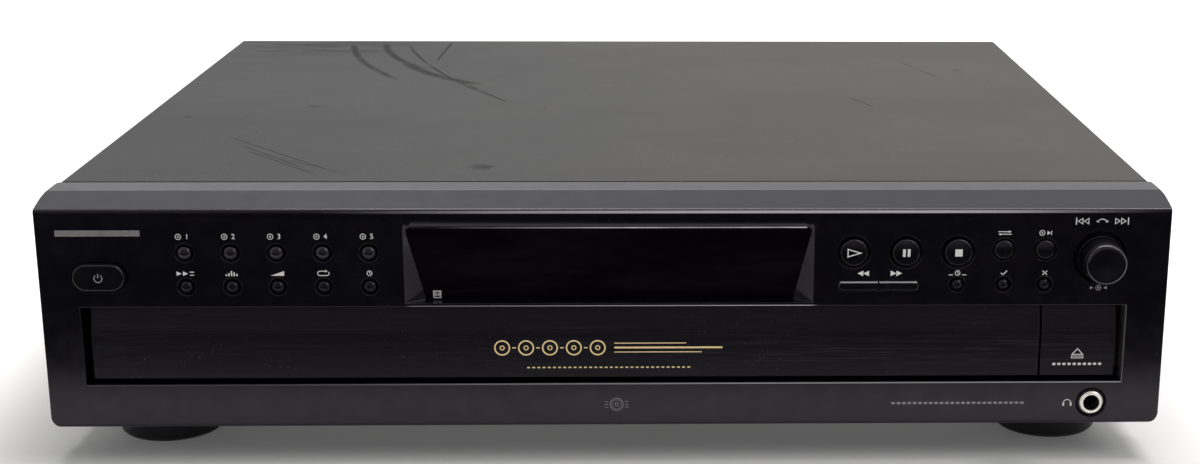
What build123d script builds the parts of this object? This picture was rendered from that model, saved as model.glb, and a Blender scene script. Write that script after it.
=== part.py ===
from build123d import *
import os
from math import acos, asin, atan2, ceil, cos, hypot, pi, radians, sin, sqrt, tan

# A five disc carousel compact disc changer, full hi-fi width, in millimetres.
# +X is to the right as seen from the front, +Y runs to the back and +Z is up.
# The origin is on the surface it stands on, below the middle of its box.

# ---------------------------------------------------------------- case sizes
PANEL_W = 430.0                 # width of the moulded front panel
BODY_D = 380.0                  # front face to back panel
BODY_H = 91.0                   # bottom of the panel to the top of the cover
FOOT_H = 15.0                   # height of the feet below the case
KNOB_OUT = 12.0                 # how far the jog knob stands out of the face
JACK_OUT = 8.0                  # how far the output jacks stand out at the back
COVER_INSET = 1.8               # the steel cover is narrower than the panel on each side
COVER_T = 1.0                   # cover sheet
SHEET_T = 1.2                   # chassis and back panel sheet
FIT = 0.3                       # gap between pieces that are not a fit
RUN = 0.05                      # radial clearance of a shaft that turns

FACE_Y = KNOB_OUT - (KNOB_OUT + BODY_D + JACK_OUT) / 2
BACK_Y = FACE_Y + BODY_D
BASE_Z = FOOT_H
TOP_Z = BASE_Z + BODY_H
COVER_X = PANEL_W / 2 - COVER_INSET
COVER_IN_X = COVER_X - COVER_T
PAN_X = COVER_IN_X - FIT
PAN_TOP = BASE_Z + SHEET_T

# --------------------------------------------------------------- front panel
PANEL_D = 27.0                  # depth of the panel's hood, front to back
FACE_H = 86.5                   # height of its flat face
CREASE_D = 16.5                 # the top slopes up to this crease
CREASE_H = 90.4
WALL = 3.0                      # thickness of the face
SKIN = 2.4                      # thickness of the top, sides and floor
EDGE_R = 1.4                    # rounding of the long front edges
PANEL_Y = FACE_Y + PANEL_D
PANEL_IN_X = PANEL_W / 2 - SKIN
INSIDE_Y = FACE_Y + WALL
COVER_GAP = 1.4                 # dark gap between the hood and the cover
KEY_FIT = 0.25                  # gap round a key in its hole

# slot for the tray door and the open/close key
SLOT_X0 = -200.5
SLOT_X1 = 199.6
SLOT_Z0 = BASE_Z + 17.3
SLOT_Z1 = BASE_Z + 48.5
SLOT_RETURN = 8.0               # depth of the walls that run back round the slot
RETURN_T = 2.2
DOOR_IN = 2.0                   # the door stands this far behind the face
DOOR_T = 4.0                    # thickness of the door and of the key beside it
DOOR_BAND = 10.0                # height of the leaning upper band
DOOR_LEAN = 2.8                 # how far that band leans back
DOOR_GAP_SIDE = 2.9
DOOR_GAP_KEY = 1.0
DOOR_GAP_LOW = 1.7
DOOR_GAP_TOP = 0.5
KEY_W = 28.7                    # width of the open/close key

# display window: a glass that leans back at its foot
WINDOW_X0 = -77.5
WINDOW_X1 = 78.7
WINDOW_Z0 = BASE_Z + 49.7
WINDOW_Z1 = BASE_Z + 82.0
GLASS_TOP_IN = 1.2              # the opening narrows by this much at the glass top
GLASS_FOOT_IN = 7.6             # and by this much at the glass foot
GLASS_TOP_D = 1.2               # depth of the glass behind the face, at its top
GLASS_FOOT_D = 5.6              # and at its foot
GLASS_TOP_DROP = 2.6
GLASS_T = 2.0
GLASS_LAP = 1.2                 # glass overlaps the back of its frame
WINDOW_R = 3.0
FRAME_T = 2.4                   # wall of the recess that holds the glass

# keys: name, x, height above the panel's bottom edge, radius
DISC_KEY_X = (-159.7, -142.4, -125.2, -107.8, -90.4)
LOWER_KEYS = ("play_mode_button", "peak_search_button", "fader_button", "repeat_button", "time_button")
DISC_KEY_H = 69.8
LOWER_KEY_H = 56.5
ROUND_KEYS = [(f"disc_button_{i + 1}", x, DISC_KEY_H, 2.5) for i, x in enumerate(DISC_KEY_X)]
ROUND_KEYS += [(name, x, LOWER_KEY_H, 2.25) for name, x in zip(LOWER_KEYS, DISC_KEY_X)]
ROUND_KEYS += [
    ("play_button", 93.8, 69.7, 5.15),
    ("pause_button", 113.8, 69.7, 5.15),
    ("stop_button", 133.8, 69.7, 5.15),
    ("exchange_button", 151.3, 70.6, 3.6),
    ("disc_skip_button", 167.2, 70.6, 3.6),
    ("time_edit_button", 133.8, 56.8, 2.0),
    ("check_button", 151.6, 56.8, 2.0),
    ("clear_button", 167.4, 56.8, 2.0),
]
BIG_KEY_R = 5.0                 # keys from this radius on are the transport keys
MID_KEY_R = 3.0
KEY_FLANGE = 1.1                # rim behind the wall that keeps a key in
KEY_FLANGE_T = 1.2
KEY_STEM_R = 1.3
KEY_TRAVEL = 0.8
DISH_D = 0.9                    # depth of the dished ring round a key

SEEK_X0 = 88.0                  # the rewind and forward keys share one long hole
SEEK_X1 = 119.0
SEEK_SPLIT = 0.6
SEEK_H = 3.7
SEEK_KEY_H = 56.4
POWER_X = -191.8
POWER_KEY_H = 60.9
POWER_W = 19.6
POWER_KEY_TALL = 10.4
POWER_TRAVEL = 3.0
OPEN_TRAVEL = 1.2

JOG_X = 188.4
JOG_H = 67.4
JOG_R_BACK = 8.75
JOG_R_FRONT = 7.9
JOG_SHAFT_R = 3.0
JOG_BUSH_R = 4.5
JOG_BUSH_OUT = 0.6              # the encoder's bush stands this far out of the face
JOG_BACK_IN = 1.2               # the knob's back edge lies this far inside its dish
JOG_TRAVEL = 0.8                # the knob can be pushed in
JOG_DISH_R = 10.4
PHONES_X = 188.4
PHONES_H = 8.7
PHONES_BORE_R = 3.2             # takes a quarter inch plug
PHONES_RING_R = 4.6
PHONES_HOLE_R = 5.6

# ------------------------------------------------------------- control board
BOARD_T = 1.6
BOARD_Y = FACE_Y + 16.0         # front of the control board
SWITCH_D = 3.6                  # body of a tact switch
PLUNGER_D = 1.0
PLUNGER_R = 1.7
BOARD_Z0 = SLOT_Z1 + 2.2
BOARD_Z1 = BASE_Z + 82.6

# ---------------------------------------------------------------------- feet
FOOT_R = 22.0
FOOT_X = 179.5
FOOT_FRONT_Y = FACE_Y + 44.0
FOOT_BACK_Y = BACK_Y - 42.0

# ---------------------------------------------------------------------- tray
TRAY_X0 = -190.0
TRAY_X1 = 160.0
TRAY_Y1 = 165.0
TRAY_TRAVEL = 240.0
TRAY_FLOOR_Z = 40.0             # underside of the tray
TRAY_FLOOR_T = 2.0
TRAY_TOP_Z = 54.0
TRAY_WALL = 2.5
TRAY_DECK_T = 2.4
RUNNER_W = 4.0
RUNNER_Z = 45.0
RUNNER_T = 2.0
TRAY_X = (TRAY_X0 + TRAY_X1) / 2
LIFT_SLOT_X0 = -58.0            # opening behind the carousel for the pickup deck
LIFT_SLOT_X1 = 37.0
LIFT_SLOT_Y0 = 67.0

# ------------------------------------------------------------------ carousel
CAROUSEL_Y = -8.0
CAROUSEL_R = 167.5
CAROUSEL_Z0 = 48.0
CAROUSEL_T = 5.0
WELL_GAP = 1.8
DISC_R = 60.0
POCKET_GAP = 0.5
POCKET_RING = 105.5             # circle through the five disc centres
POCKET_DEPTH = 3.0
SMALL_POCKET_R = 40.5           # for the 80 mm disc
SMALL_POCKET_DEPTH = 0.8
KEYHOLE_R = 28.0
DISCS = 5
HUB_R = 8.0
CAP_R = 26.0
CAP_H = 3.5
GLIDE_R = 4.0
GLIDE_RING = 160.0
HUB_MODULE = 1.25
HUB_TEETH = 64
TABLE_TEETH = 16
TABLE_GEAR_AT = 135.0           # direction of the table gear from the hub
TABLE_PULLEY_R = 12.0
TABLE_MOTOR_X = -168.0
TABLE_MOTOR_Y = 143.0
TABLE_MOTOR_R = 12.0
SMALL_PULLEY_R = 3.5
BELT_T = 1.0

# -------------------------------------------------------------- tray drive
RACK_MODULE = 1.5
DRIVE_TEETH = 20
RACK_X = 131.0                  # pitch line of the rack
DRIVE_Y = -120.0
WHEEL_MODULE = 1.0
WHEEL_TEETH = 50
PINION_TEETH = 14
PINION_AT = 32.5                # direction of the pulley from the drive gear
LOAD_PULLEY_R = 12.0
LOAD_MOTOR_X = 190.0
LOAD_MOTOR_R = 12.0

# --------------------------------------------------------------- pickup unit
LIFT_ANGLE = 9.5                # the deck rests this much below the playing position
PIVOT_Y = 176.0
PIVOT_Z = 44.0
PIVOT_R = 2.0
DECK_X0 = -48.0
DECK_X1 = 28.0
DECK_T = 2.0
DECK_FRONT = 97.0               # deck reaches this far in front of its pivots
DECK_FLANGE = 6.0
PLATTER_R = 15.0
PLATTER_TOP = 57.3              # height of the disc's underside in the playing position
BOSS_R = 7.4
SLED_TRAVEL = 35.0
SLED_INNER = 24.0               # lens to spindle at the inner end
ROD_R = 1.5
ROD_SPREAD = 18.0
SLED_MODULE = 0.6
SLED_TEETH = 20
SLED_GEAR_BACK = 32.0           # sled gear to the deck's pivots
SPINDLE_MOTOR_R = 13.0
SPINDLE_MOTOR_H = 11.0
SLED_MOTOR_R = 8.0
SLED_MOTOR_DROP = 3.8           # top of that motor below the deck, with its gear between
CLAMP_Z = 62.0                  # underside of the clamp bridge
PUCK_R = 11.5
SLIDER_TRAVEL = 24.0

SPINDLE_X = TRAY_X
SPINDLE_Y = CAROUSEL_Y + POCKET_RING

# ------------------------------------------------------------------- rear
OUT_JACK_X = (-150.0, -132.0)
OUT_JACK_Z = 78.0
OUT_JACK_R = 4.15
OUT_JACK_WALL = 0.8             # wall of the metal barrel round its plastic insert
OUT_JACK_BORE_R = 1.65
JACK_NECK = 0.6                 # the barrel is narrower up to this far out of the back panel
CORD_X = 186.0
CORD_Z = 34.0
CORD_BORE_R = 3.2
SCREW_R = 1.5
SCREW_HEAD_R = 3.4
SCREW_HEAD_T = 1.6
SIDE_SCREW_Y = (-60.0, 120.0)
SIDE_SCREW_Z = BASE_Z + 11.0
BACK_SCREW_X = (-198.0, 0.0, 198.0)
BACK_SCREW_Z = TOP_Z - 12.0


# ------------------------------------------------------------ plain shapes
def block(x0, x1, y0, y1, z0, z1):
    return Pos((x0 + x1) / 2, (y0 + y1) / 2, (z0 + z1) / 2) * Box(x1 - x0, y1 - y0, z1 - z0)


def post(x, y, z0, z1, radius):
    return Pos(x, y, (z0 + z1) / 2) * Cylinder(radius, z1 - z0)


def pin_y(x, z, y0, y1, radius):
    return Pos(x, (y0 + y1) / 2, z) * Rot(90, 0, 0) * Cylinder(radius, y1 - y0)


def pin_x(y, z, x0, x1, radius):
    return Pos((x0 + x1) / 2, y, z) * Rot(0, 90, 0) * Cylinder(radius, x1 - x0)


def turned_y(x, z, outline):
    """Turn an outline of (radius, y) points about the line through (x, z) along Y."""
    profile = make_face(Polyline(*outline, close=True))
    return Pos(x, 0, z) * revolve(profile, Axis.Y)


def turned_z(x, y, outline):
    """Turn an outline of (radius, z) points about the upright line through (x, y)."""
    profile = Plane.XZ * make_face(Polyline(*outline, close=True))
    return Pos(x, y, 0) * revolve(profile, Axis.Z)


def side_prism(outline, x0, x1):
    """A prism along X with a side outline of (y, z) points."""
    profile = Plane.YZ * make_face(Polyline(*outline, close=True))
    return Pos(x0, 0, 0) * extrude(profile, x1 - x0)


def front_prism(sketch, y0, y1):
    """A prism along Y of a sketch drawn in (x, z)."""
    return Pos(0, y1, 0) * extrude(Plane.XZ * sketch, y1 - y0)


def flat_prism(sketch, z0, z1):
    return Pos(0, 0, z0) * extrude(sketch, z1 - z0)


# -------------------------------------------------------------------- gears
def involute_point(base_r, radius):
    """Angle, from the start of the flank, where the involute reaches a radius."""
    roll = sqrt(max((radius / base_r) ** 2 - 1, 0))
    return roll - atan2(roll, 1)


def gear_sketch(module, teeth, slack=0.16):
    """Outline of a spur gear with involute flanks and some backlash."""
    pitch_r = module * teeth / 2
    base_r = pitch_r * cos(radians(20))
    tip_r = pitch_r + 0.92 * module
    root_r = pitch_r - 1.2 * module
    half = pi / (2 * teeth) - slack / (2 * pitch_r) * module
    start = half + involute_point(base_r, pitch_r)
    low_r = max(base_r, root_r)
    flank = [(root_r, start)] if root_r < base_r else []
    for radius in (low_r, (low_r + tip_r) / 2, tip_r):
        flank.append((radius, start - involute_point(base_r, radius)))
    points = []
    for tooth in range(teeth):
        middle = 2 * pi * tooth / teeth
        for radius, angle in flank:
            points.append((radius * cos(middle - angle), radius * sin(middle - angle)))
        for radius, angle in reversed(flank):
            points.append((radius * cos(middle + angle), radius * sin(middle + angle)))
    return make_face(Polyline(*points, close=True))


def gear(x, y, z0, z1, module, teeth, phase=0.0):
    """A spur gear about an upright axis, with one tooth pointing along phase degrees."""
    return Pos(x, y, 0) * Rot(0, 0, phase) * flat_prism(gear_sketch(module, teeth), z0, z1)


def rack(pitch_x, side, y0, teeth, z0, z1, module, backing, slack=0.16):
    """A rack along Y whose teeth point along side (+1 or -1) from the pitch line."""
    pitch = pi * module
    tip = 0.92 * module
    root = 1.2 * module
    lean = tan(radians(20))
    points = [(pitch_x - side * (root + backing), y0)]
    for tooth in range(teeth):
        middle = y0 + pitch * (tooth + 0.5)
        half = pitch / 4 - slack * module / 2
        for depth, sign in ((-root, -1), (tip, -1), (tip, 1), (-root, 1)):
            points.append((pitch_x + side * depth, middle + sign * (half - lean * depth)))
    points.append((pitch_x - side * (root + backing), y0 + pitch * teeth))
    return flat_prism(make_face(Polyline(*points, close=True)), z0, z1)


def belt(x0, y0, r0, x1, y1, r1, z0, z1):
    """A flat belt, a closed loop round two pulleys."""
    def loop(grow):
        distance = hypot(x1 - x0, y1 - y0)
        heading = atan2(y1 - y0, x1 - x0)
        wrap = acos((r0 - r1) / distance)
        corners = []
        for angle in (heading + wrap, heading - wrap):
            near = (x0 + (r0 + grow) * cos(angle), y0 + (r0 + grow) * sin(angle))
            far = (x1 + (r1 + grow) * cos(angle), y1 + (r1 + grow) * sin(angle))
            corners.append((near, far))
        (a, b), (d, c) = corners
        straight = make_face(Polyline(a, b, c, d, close=True))
        return straight + Pos(x0, y0) * Circle(r0 + grow) + Pos(x1, y1) * Circle(r1 + grow)

    return flat_prism(loop(RUN + BELT_T) - loop(RUN), z0, z1)


def pulley_outline(radius, rim, z0, z1, bore):
    """Half section of a pulley with a flat groove between two rims."""
    lip = 0.6
    return [(bore, z0), (radius + rim, z0), (radius + rim, z0 + lip), (radius, z0 + lip),
            (radius, z1 - lip), (radius + rim, z1 - lip), (radius + rim, z1), (bore, z1)]


# --------------------------------------------------------------------- case
def chassis_pan():
    y0 = PANEL_Y + FIT
    y1 = BACK_Y - SHEET_T - FIT
    side_h = 15.0
    front_h = 15.0
    pan = block(-PAN_X, PAN_X, y0, y1, BASE_Z, PAN_TOP)
    pan += block(-PAN_X, -PAN_X + SHEET_T, y0, y1, BASE_Z, BASE_Z + side_h)
    pan += block(PAN_X - SHEET_T, PAN_X, y0, y1, BASE_Z, BASE_Z + side_h)
    pan += block(-PAN_X, PAN_X, y0, y0 + SHEET_T, BASE_Z, BASE_Z + front_h)
    pan += block(-PAN_X, PAN_X, y1 - SHEET_T, y1, BASE_Z, BASE_Z + side_h)
    vents = []
    for row in range(2):
        for i in range(12):
            x = -186.0 + 9.0 * i
            y = 30.0 + 55.0 * row
            vents.append(block(x, x + 3.0, y, y + 40.0, BASE_Z - 1, PAN_TOP + 1))
    pan -= vents
    pan -= [pin_x(y, SIDE_SCREW_Z, -PAN_X - 1, PAN_X + 1, SCREW_R + 0.1) for y in SIDE_SCREW_Y]
    cord_notch = block(CORD_X - 11, CORD_X + 11, y1 - SHEET_T - 1, y1 + 1, PAN_TOP + 2, BASE_Z + side_h + 1)
    pan -= cord_notch
    for x, y in board_standoffs():
        pan += post(x, y, PAN_TOP, MAIN_BOARD_Z, 3.0)
    return pan


def top_cover():
    y0 = PANEL_Y + COVER_GAP
    z0 = BASE_Z + 1.6
    cover = block(-COVER_X, COVER_X, y0, BACK_Y, z0, TOP_Z)
    bends = cover.edges().filter_by(Axis.Y).group_by(Axis.Z)[-1]
    cover = fillet(bends, 2.2)
    hollow = block(-COVER_IN_X, COVER_IN_X, y0 - 1, BACK_Y + 1, z0 - 1, TOP_Z - COVER_T)
    bends = hollow.edges().filter_by(Axis.Y).group_by(Axis.Z)[-1]
    cover -= fillet(bends, 1.2)
    holes = [pin_x(y, SIDE_SCREW_Z, -COVER_X - 1, COVER_X + 1, SCREW_R + 0.1) for y in SIDE_SCREW_Y]
    return cover - holes


def back_panel():
    z0 = BASE_Z + 1.6
    z1 = TOP_Z - COVER_T - FIT
    plate = block(-PAN_X, PAN_X, BACK_Y - SHEET_T, BACK_Y, z0, z1)
    upper = plate.edges().filter_by(Axis.Y).group_by(Axis.Z)[-1]
    plate = fillet(upper, 1.4)
    lip = block(-PAN_X + 8, PAN_X - 8, BACK_Y - 9.0, BACK_Y - SHEET_T, z1 - SHEET_T, z1)
    plate += lip
    holes = [pin_y(x, OUT_JACK_Z, BACK_Y - 3, BACK_Y + 1, OUT_JACK_R + 0.6) for x in OUT_JACK_X]
    holes.append(pin_y(CORD_X, CORD_Z, BACK_Y - 3, BACK_Y + 1, CORD_BORE_R + 3.0))
    holes += [pin_y(x, BACK_SCREW_Z, BACK_Y - 3, BACK_Y + 1, SCREW_R + 0.1) for x in BACK_SCREW_X]
    return plate - holes


def foot(x, y):
    outline = [(0, BASE_Z), (FOOT_R, BASE_Z), (FOOT_R, BASE_Z - 3.4), (FOOT_R - 0.9, BASE_Z - 4.2),
               (FOOT_R - 0.9, BASE_Z - 5.4), (FOOT_R - 0.2, BASE_Z - 6.2), (FOOT_R - 1.6, 1.2),
               (FOOT_R - 2.8, 0), (FOOT_R - 7.0, 0), (FOOT_R - 8.2, 2.4), (0, 2.4)]
    return turned_z(x, y, outline)


def feet():
    return [foot(side * FOOT_X, y) for side in (-1, 1) for y in (FOOT_FRONT_Y, FOOT_BACK_Y)]


def screw_x(side, y):
    head = pin_x(y, SIDE_SCREW_Z, COVER_X, COVER_X + SCREW_HEAD_T, SCREW_HEAD_R)
    head = fillet(head.edges().group_by(Axis.X)[-1], 1.0)
    shank = pin_x(y, SIDE_SCREW_Z, COVER_X - 3.2, COVER_X, SCREW_R)
    slot_x = COVER_X + SCREW_HEAD_T
    cross = block(slot_x - 0.8, slot_x + 1, y - 1.7, y + 1.7, SIDE_SCREW_Z - 0.35, SIDE_SCREW_Z + 0.35)
    cross += block(slot_x - 0.8, slot_x + 1, y - 0.35, y + 0.35, SIDE_SCREW_Z - 1.7, SIDE_SCREW_Z + 1.7)
    screw = head + shank - cross
    return screw if side > 0 else mirror(screw, Plane.YZ)


def screw_y(x):
    head = pin_y(x, BACK_SCREW_Z, BACK_Y, BACK_Y + SCREW_HEAD_T, SCREW_HEAD_R)
    head = fillet(head.edges().group_by(Axis.Y)[-1], 1.0)
    shank = pin_y(x, BACK_SCREW_Z, BACK_Y - 6.0, BACK_Y, SCREW_R)
    slot_y = BACK_Y + SCREW_HEAD_T
    cross = block(x - 1.7, x + 1.7, slot_y - 0.8, slot_y + 1, BACK_SCREW_Z - 0.35, BACK_SCREW_Z + 0.35)
    cross += block(x - 0.35, x + 0.35, slot_y - 0.8, slot_y + 1, BACK_SCREW_Z - 1.7, BACK_SCREW_Z + 1.7)
    return head + shank - cross


def case_screws():
    sides = [screw_x(side, y) for side in (-1, 1) for y in SIDE_SCREW_Y]
    return sides + [screw_y(x) for x in BACK_SCREW_X]


# -------------------------------------------------------------- front panel
def window_outline(x0, x1, foot_in, z0, z1, radius, grow):
    """Outline of the window recess with round upper corners, in (x, z)."""
    left = x0 - grow
    right = x1 + grow
    foot_left = left + foot_in
    foot_right = right - foot_in
    low = z0 - grow
    high = z1 + grow
    bend = radius + grow
    diag = bend * (1 - sqrt(0.5))
    edges = [
        Line((foot_left, low), (foot_right, low)),
        Line((foot_right, low), (right, high - bend)),
        ThreePointArc((right, high - bend), (right - diag, high - diag), (right - bend, high)),
        Line((right - bend, high), (left + bend, high)),
        ThreePointArc((left + bend, high), (left + diag, high - diag), (left, high - bend)),
        Line((left, high - bend), (foot_left, low)),
    ]
    return make_face(Wire(edges))


GLASS_RISE = WINDOW_Z1 - GLASS_TOP_DROP - WINDOW_Z0
GLASS_LEAN = GLASS_FOOT_D - GLASS_TOP_D
GLASS_LENGTH = hypot(GLASS_RISE, GLASS_LEAN)
GLASS_PLANE = Plane(
    origin=(0, FACE_Y + GLASS_FOOT_D, WINDOW_Z0),
    x_dir=(1, 0, 0),
    z_dir=(0, -GLASS_RISE / GLASS_LENGTH, -GLASS_LEAN / GLASS_LENGTH),
)


def glass_outline(grow):
    """Outline of the leaning glass opening, drawn in its own plane."""
    x0 = WINDOW_X0 + GLASS_TOP_IN
    x1 = WINDOW_X1 - GLASS_TOP_IN
    foot_in = GLASS_FOOT_IN - GLASS_TOP_IN
    return window_outline(x0, x1, foot_in, 0, GLASS_LENGTH, WINDOW_R - 1.0, grow)


def window_recess(grow):
    """The wedge between the face and the leaning glass, made larger by grow."""
    face_side = window_outline(WINDOW_X0, WINDOW_X1, 0, WINDOW_Z0, WINDOW_Z1, WINDOW_R, grow)
    front = Plane(origin=(0, FACE_Y, 0), x_dir=(1, 0, 0), z_dir=(0, -1, 0)) * face_side
    return loft([front, GLASS_PLANE * glass_outline(grow)], ruled=True)


def rounded_bar(x0, x1, z0, z1, radius, y0, y1):
    sketch = Pos((x0 + x1) / 2, (z0 + z1) / 2) * RectangleRounded(x1 - x0, z1 - z0, radius)
    return front_prism(sketch, y0, y1)


def dish_radius(radius):
    if radius > BIG_KEY_R:
        return radius + 1.6
    if radius > MID_KEY_R:
        return radius + 0.9
    return radius + 1.3


def key_dish(x, z, radius):
    return turned_y(x, z, [(0, FACE_Y - 0.01), (dish_radius(radius), FACE_Y - 0.01),
                           (radius + KEY_FIT, FACE_Y + DISH_D), (0, FACE_Y + DISH_D)])


def panel_shell():
    outline = [(FACE_Y, BASE_Z), (PANEL_Y, BASE_Z), (PANEL_Y, TOP_Z),
               (FACE_Y + CREASE_D, BASE_Z + CREASE_H), (FACE_Y, BASE_Z + FACE_H)]
    shell = side_prism(outline, -PANEL_W / 2, PANEL_W / 2)
    long_edges = shell.edges().filter_by(Axis.X).filter_by_position(Axis.Y, FACE_Y - 0.1, FACE_Y + 0.1)
    shell = fillet(long_edges, EDGE_R)
    mask = Pos(0, (BASE_Z + TOP_Z) / 2) * RectangleRounded(PANEL_W, BODY_H, 2.6)
    low_mask = Pos(0, (BASE_Z + TOP_Z + 10) / 2) * RectangleRounded(PANEL_W, BODY_H + 10, 4.5)
    shell = shell & front_prism(mask & low_mask, FACE_Y - 1, PANEL_Y + 1)
    hollow = [(INSIDE_Y, BASE_Z + SKIN), (PANEL_Y + 1, BASE_Z + SKIN), (PANEL_Y + 1, TOP_Z - SKIN),
              (FACE_Y + CREASE_D, BASE_Z + CREASE_H - SKIN), (INSIDE_Y, BASE_Z + FACE_H - SKIN + 0.6)]
    return shell - side_prism(hollow, -PANEL_IN_X, PANEL_IN_X)


def front_panel():
    panel = panel_shell()
    open_x0 = SLOT_X1 - DOOR_GAP_SIDE - KEY_W
    guide_z = (SLOT_Z0 + SLOT_Z1) / 2
    guide = block(open_x0 + 1, PANEL_IN_X + 0.5, FACE_Y + 9, FACE_Y + 11, SLOT_Z0 + 2, SLOT_Z1 - 2)
    guide -= pin_y(OPEN_KEY_X, guide_z, FACE_Y + 8, FACE_Y + 12, KEY_STEM_R * 2 + FIT)
    panel += guide
    panel += block(SLOT_X0 - RETURN_T, SLOT_X1 + RETURN_T, FACE_Y + 1, FACE_Y + SLOT_RETURN,
                   SLOT_Z0 - RETURN_T, SLOT_Z1)
    panel += window_recess(FRAME_T)
    jog_dish_y = FACE_Y + JOG_BACK_IN + JOG_TRAVEL + 0.2
    panel += turned_y(JOG_X, BASE_Z + JOG_H, [(0, FACE_Y + 1), (JOG_DISH_R + 1.5, FACE_Y + 1),
                                              (JOG_DISH_R + 1.5, FACE_Y + 5), (0, FACE_Y + 5)])
    cuts = [window_recess(0), behind_glass(GLASS_LAP + 0.1, 8.0)]
    cuts.append(block(SLOT_X0, SLOT_X1, FACE_Y - 1, FACE_Y + SLOT_RETURN + 1, SLOT_Z0, SLOT_Z1))
    for _, x, height, radius in ROUND_KEYS:
        z = BASE_Z + height
        cuts.append(key_dish(x, z, radius))
        cuts.append(pin_y(x, z, FACE_Y - 1, INSIDE_Y + 1, radius + KEY_FIT))
    seek_z = BASE_Z + SEEK_KEY_H
    half = SEEK_H / 2 + KEY_FIT
    cuts.append(rounded_bar(SEEK_X0 - KEY_FIT, SEEK_X1 + KEY_FIT, seek_z - half, seek_z + half,
                            half - 0.01, FACE_Y - 1, INSIDE_Y + 1))
    power_z = BASE_Z + POWER_KEY_H
    for grow, y0, y1 in ((KEY_FIT, FACE_Y - 1, INSIDE_Y + 1), (1.3, FACE_Y - 1, FACE_Y + 0.8)):
        x0 = POWER_X - POWER_W / 2 - grow
        x1 = POWER_X + POWER_W / 2 + grow
        half = POWER_KEY_TALL / 2 + grow
        cuts.append(rounded_bar(x0, x1, power_z - half, power_z + half, half - 0.01, y0, y1))
    jog_z = BASE_Z + JOG_H
    cuts.append(pin_y(JOG_X, jog_z, FACE_Y - 1, FACE_Y + 6, JOG_BUSH_R + FIT))
    cuts.append(turned_y(JOG_X, jog_z, [(0, FACE_Y - 0.01), (JOG_DISH_R, FACE_Y - 0.01),
                                        (JOG_R_BACK + 0.6, jog_dish_y), (0, jog_dish_y)]))
    phones_z = BASE_Z + PHONES_H
    cuts.append(pin_y(PHONES_X, phones_z, FACE_Y - 1, INSIDE_Y + 1, PHONES_RING_R + 0.1))
    cuts.append(turned_y(PHONES_X, phones_z, [(0, FACE_Y - 0.01), (PHONES_HOLE_R + 0.6, FACE_Y - 0.01),
                                              (PHONES_HOLE_R - 0.4, FACE_Y + 1.2), (0, FACE_Y + 1.2)]))
    return panel - cuts


def behind_glass(grow, depth):
    """A prism that starts at the leaning glass front and runs back from it."""
    back = (0, GLASS_RISE / GLASS_LENGTH, GLASS_LEAN / GLASS_LENGTH)
    return extrude(GLASS_PLANE * glass_outline(grow), depth, dir=back)


def display_window():
    return behind_glass(GLASS_LAP, GLASS_T)


# --------------------------------------------------------------------- keys
def stem_end(travel):
    """Where a key's stem stops, short of its switch by its own travel."""
    return BOARD_Y - SWITCH_D - PLUNGER_D - travel - 0.2


def round_key(x, height, radius):
    z = BASE_Z + height
    out = 1.1 if radius > BIG_KEY_R else 0.5
    crown = 0.3 if radius > MID_KEY_R else 0.9
    edge = 0.35
    back = INSIDE_Y + FIT
    front = FACE_Y - out
    rim = radius - edge
    ball = (rim ** 2 + crown ** 2) / (2 * crown)
    half_turn = asin(rim / ball) / 2
    shoulder = (ball * sin(half_turn), front - crown + ball * (1 - cos(half_turn)))
    lines = [
        Line((0, stem_end(KEY_TRAVEL)), (KEY_STEM_R, stem_end(KEY_TRAVEL))),
        Line((KEY_STEM_R, stem_end(KEY_TRAVEL)), (KEY_STEM_R, back + KEY_FLANGE_T)),
        Line((KEY_STEM_R, back + KEY_FLANGE_T), (radius + KEY_FLANGE, back + KEY_FLANGE_T)),
        Line((radius + KEY_FLANGE, back + KEY_FLANGE_T), (radius + KEY_FLANGE, back)),
        Line((radius + KEY_FLANGE, back), (radius, back)),
        Line((radius, back), (radius, front + edge)),
        Line((radius, front + edge), (rim, front)),
        ThreePointArc((rim, front), shoulder, (0, front - crown)),
        Line((0, front - crown), (0, stem_end(KEY_TRAVEL))),
    ]
    return Pos(x, 0, z) * revolve(make_face(Wire(lines)), Axis.Y)


def seek_key(side):
    z = BASE_Z + SEEK_KEY_H
    middle = (SEEK_X0 + SEEK_X1) / 2
    bar = rounded_bar(SEEK_X0, SEEK_X1, z - SEEK_H / 2, z + SEEK_H / 2, SEEK_H / 2 - 0.01,
                      FACE_Y - 0.9, INSIDE_Y + FIT)
    bar = chamfer(bar.edges().group_by(Axis.Y)[0], 0.5)
    half_x0 = middle + SEEK_SPLIT / 2
    half_x1 = SEEK_X1 + 2
    flange = block(half_x0, SEEK_X1 + KEY_FLANGE, INSIDE_Y + FIT, INSIDE_Y + FIT + KEY_FLANGE_T,
                   z - SEEK_H / 2 - KEY_FLANGE, z + SEEK_H / 2 + KEY_FLANGE)
    half = bar & block(half_x0, half_x1, FACE_Y - 3, INSIDE_Y + 3, z - 5, z + 5)
    stem_x = (half_x0 + SEEK_X1) / 2
    stem = pin_y(stem_x, z, INSIDE_Y + FIT, stem_end(KEY_TRAVEL), KEY_STEM_R)
    key = half + flange + stem
    return key if side > 0 else Pos(2 * middle, 0, 0) * mirror(key, Plane.YZ)


def power_button():
    z = BASE_Z + POWER_KEY_H
    x0 = POWER_X - POWER_W / 2
    x1 = POWER_X + POWER_W / 2
    half = POWER_KEY_TALL / 2
    cap = rounded_bar(x0, x1, z - half, z + half, half - 0.01, FACE_Y - 3.2, INSIDE_Y + FIT)
    cap = fillet(cap.edges().group_by(Axis.Y)[0], 0.8)
    back = INSIDE_Y + FIT
    flange = rounded_bar(x0 - 0.9, x1 + 0.9, z - half - 0.9, z + half + 0.9, half, back, back + KEY_FLANGE_T)
    stem = pin_y(POWER_X, z, back, stem_end(POWER_TRAVEL), 1.8)
    return cap + flange + stem


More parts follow.
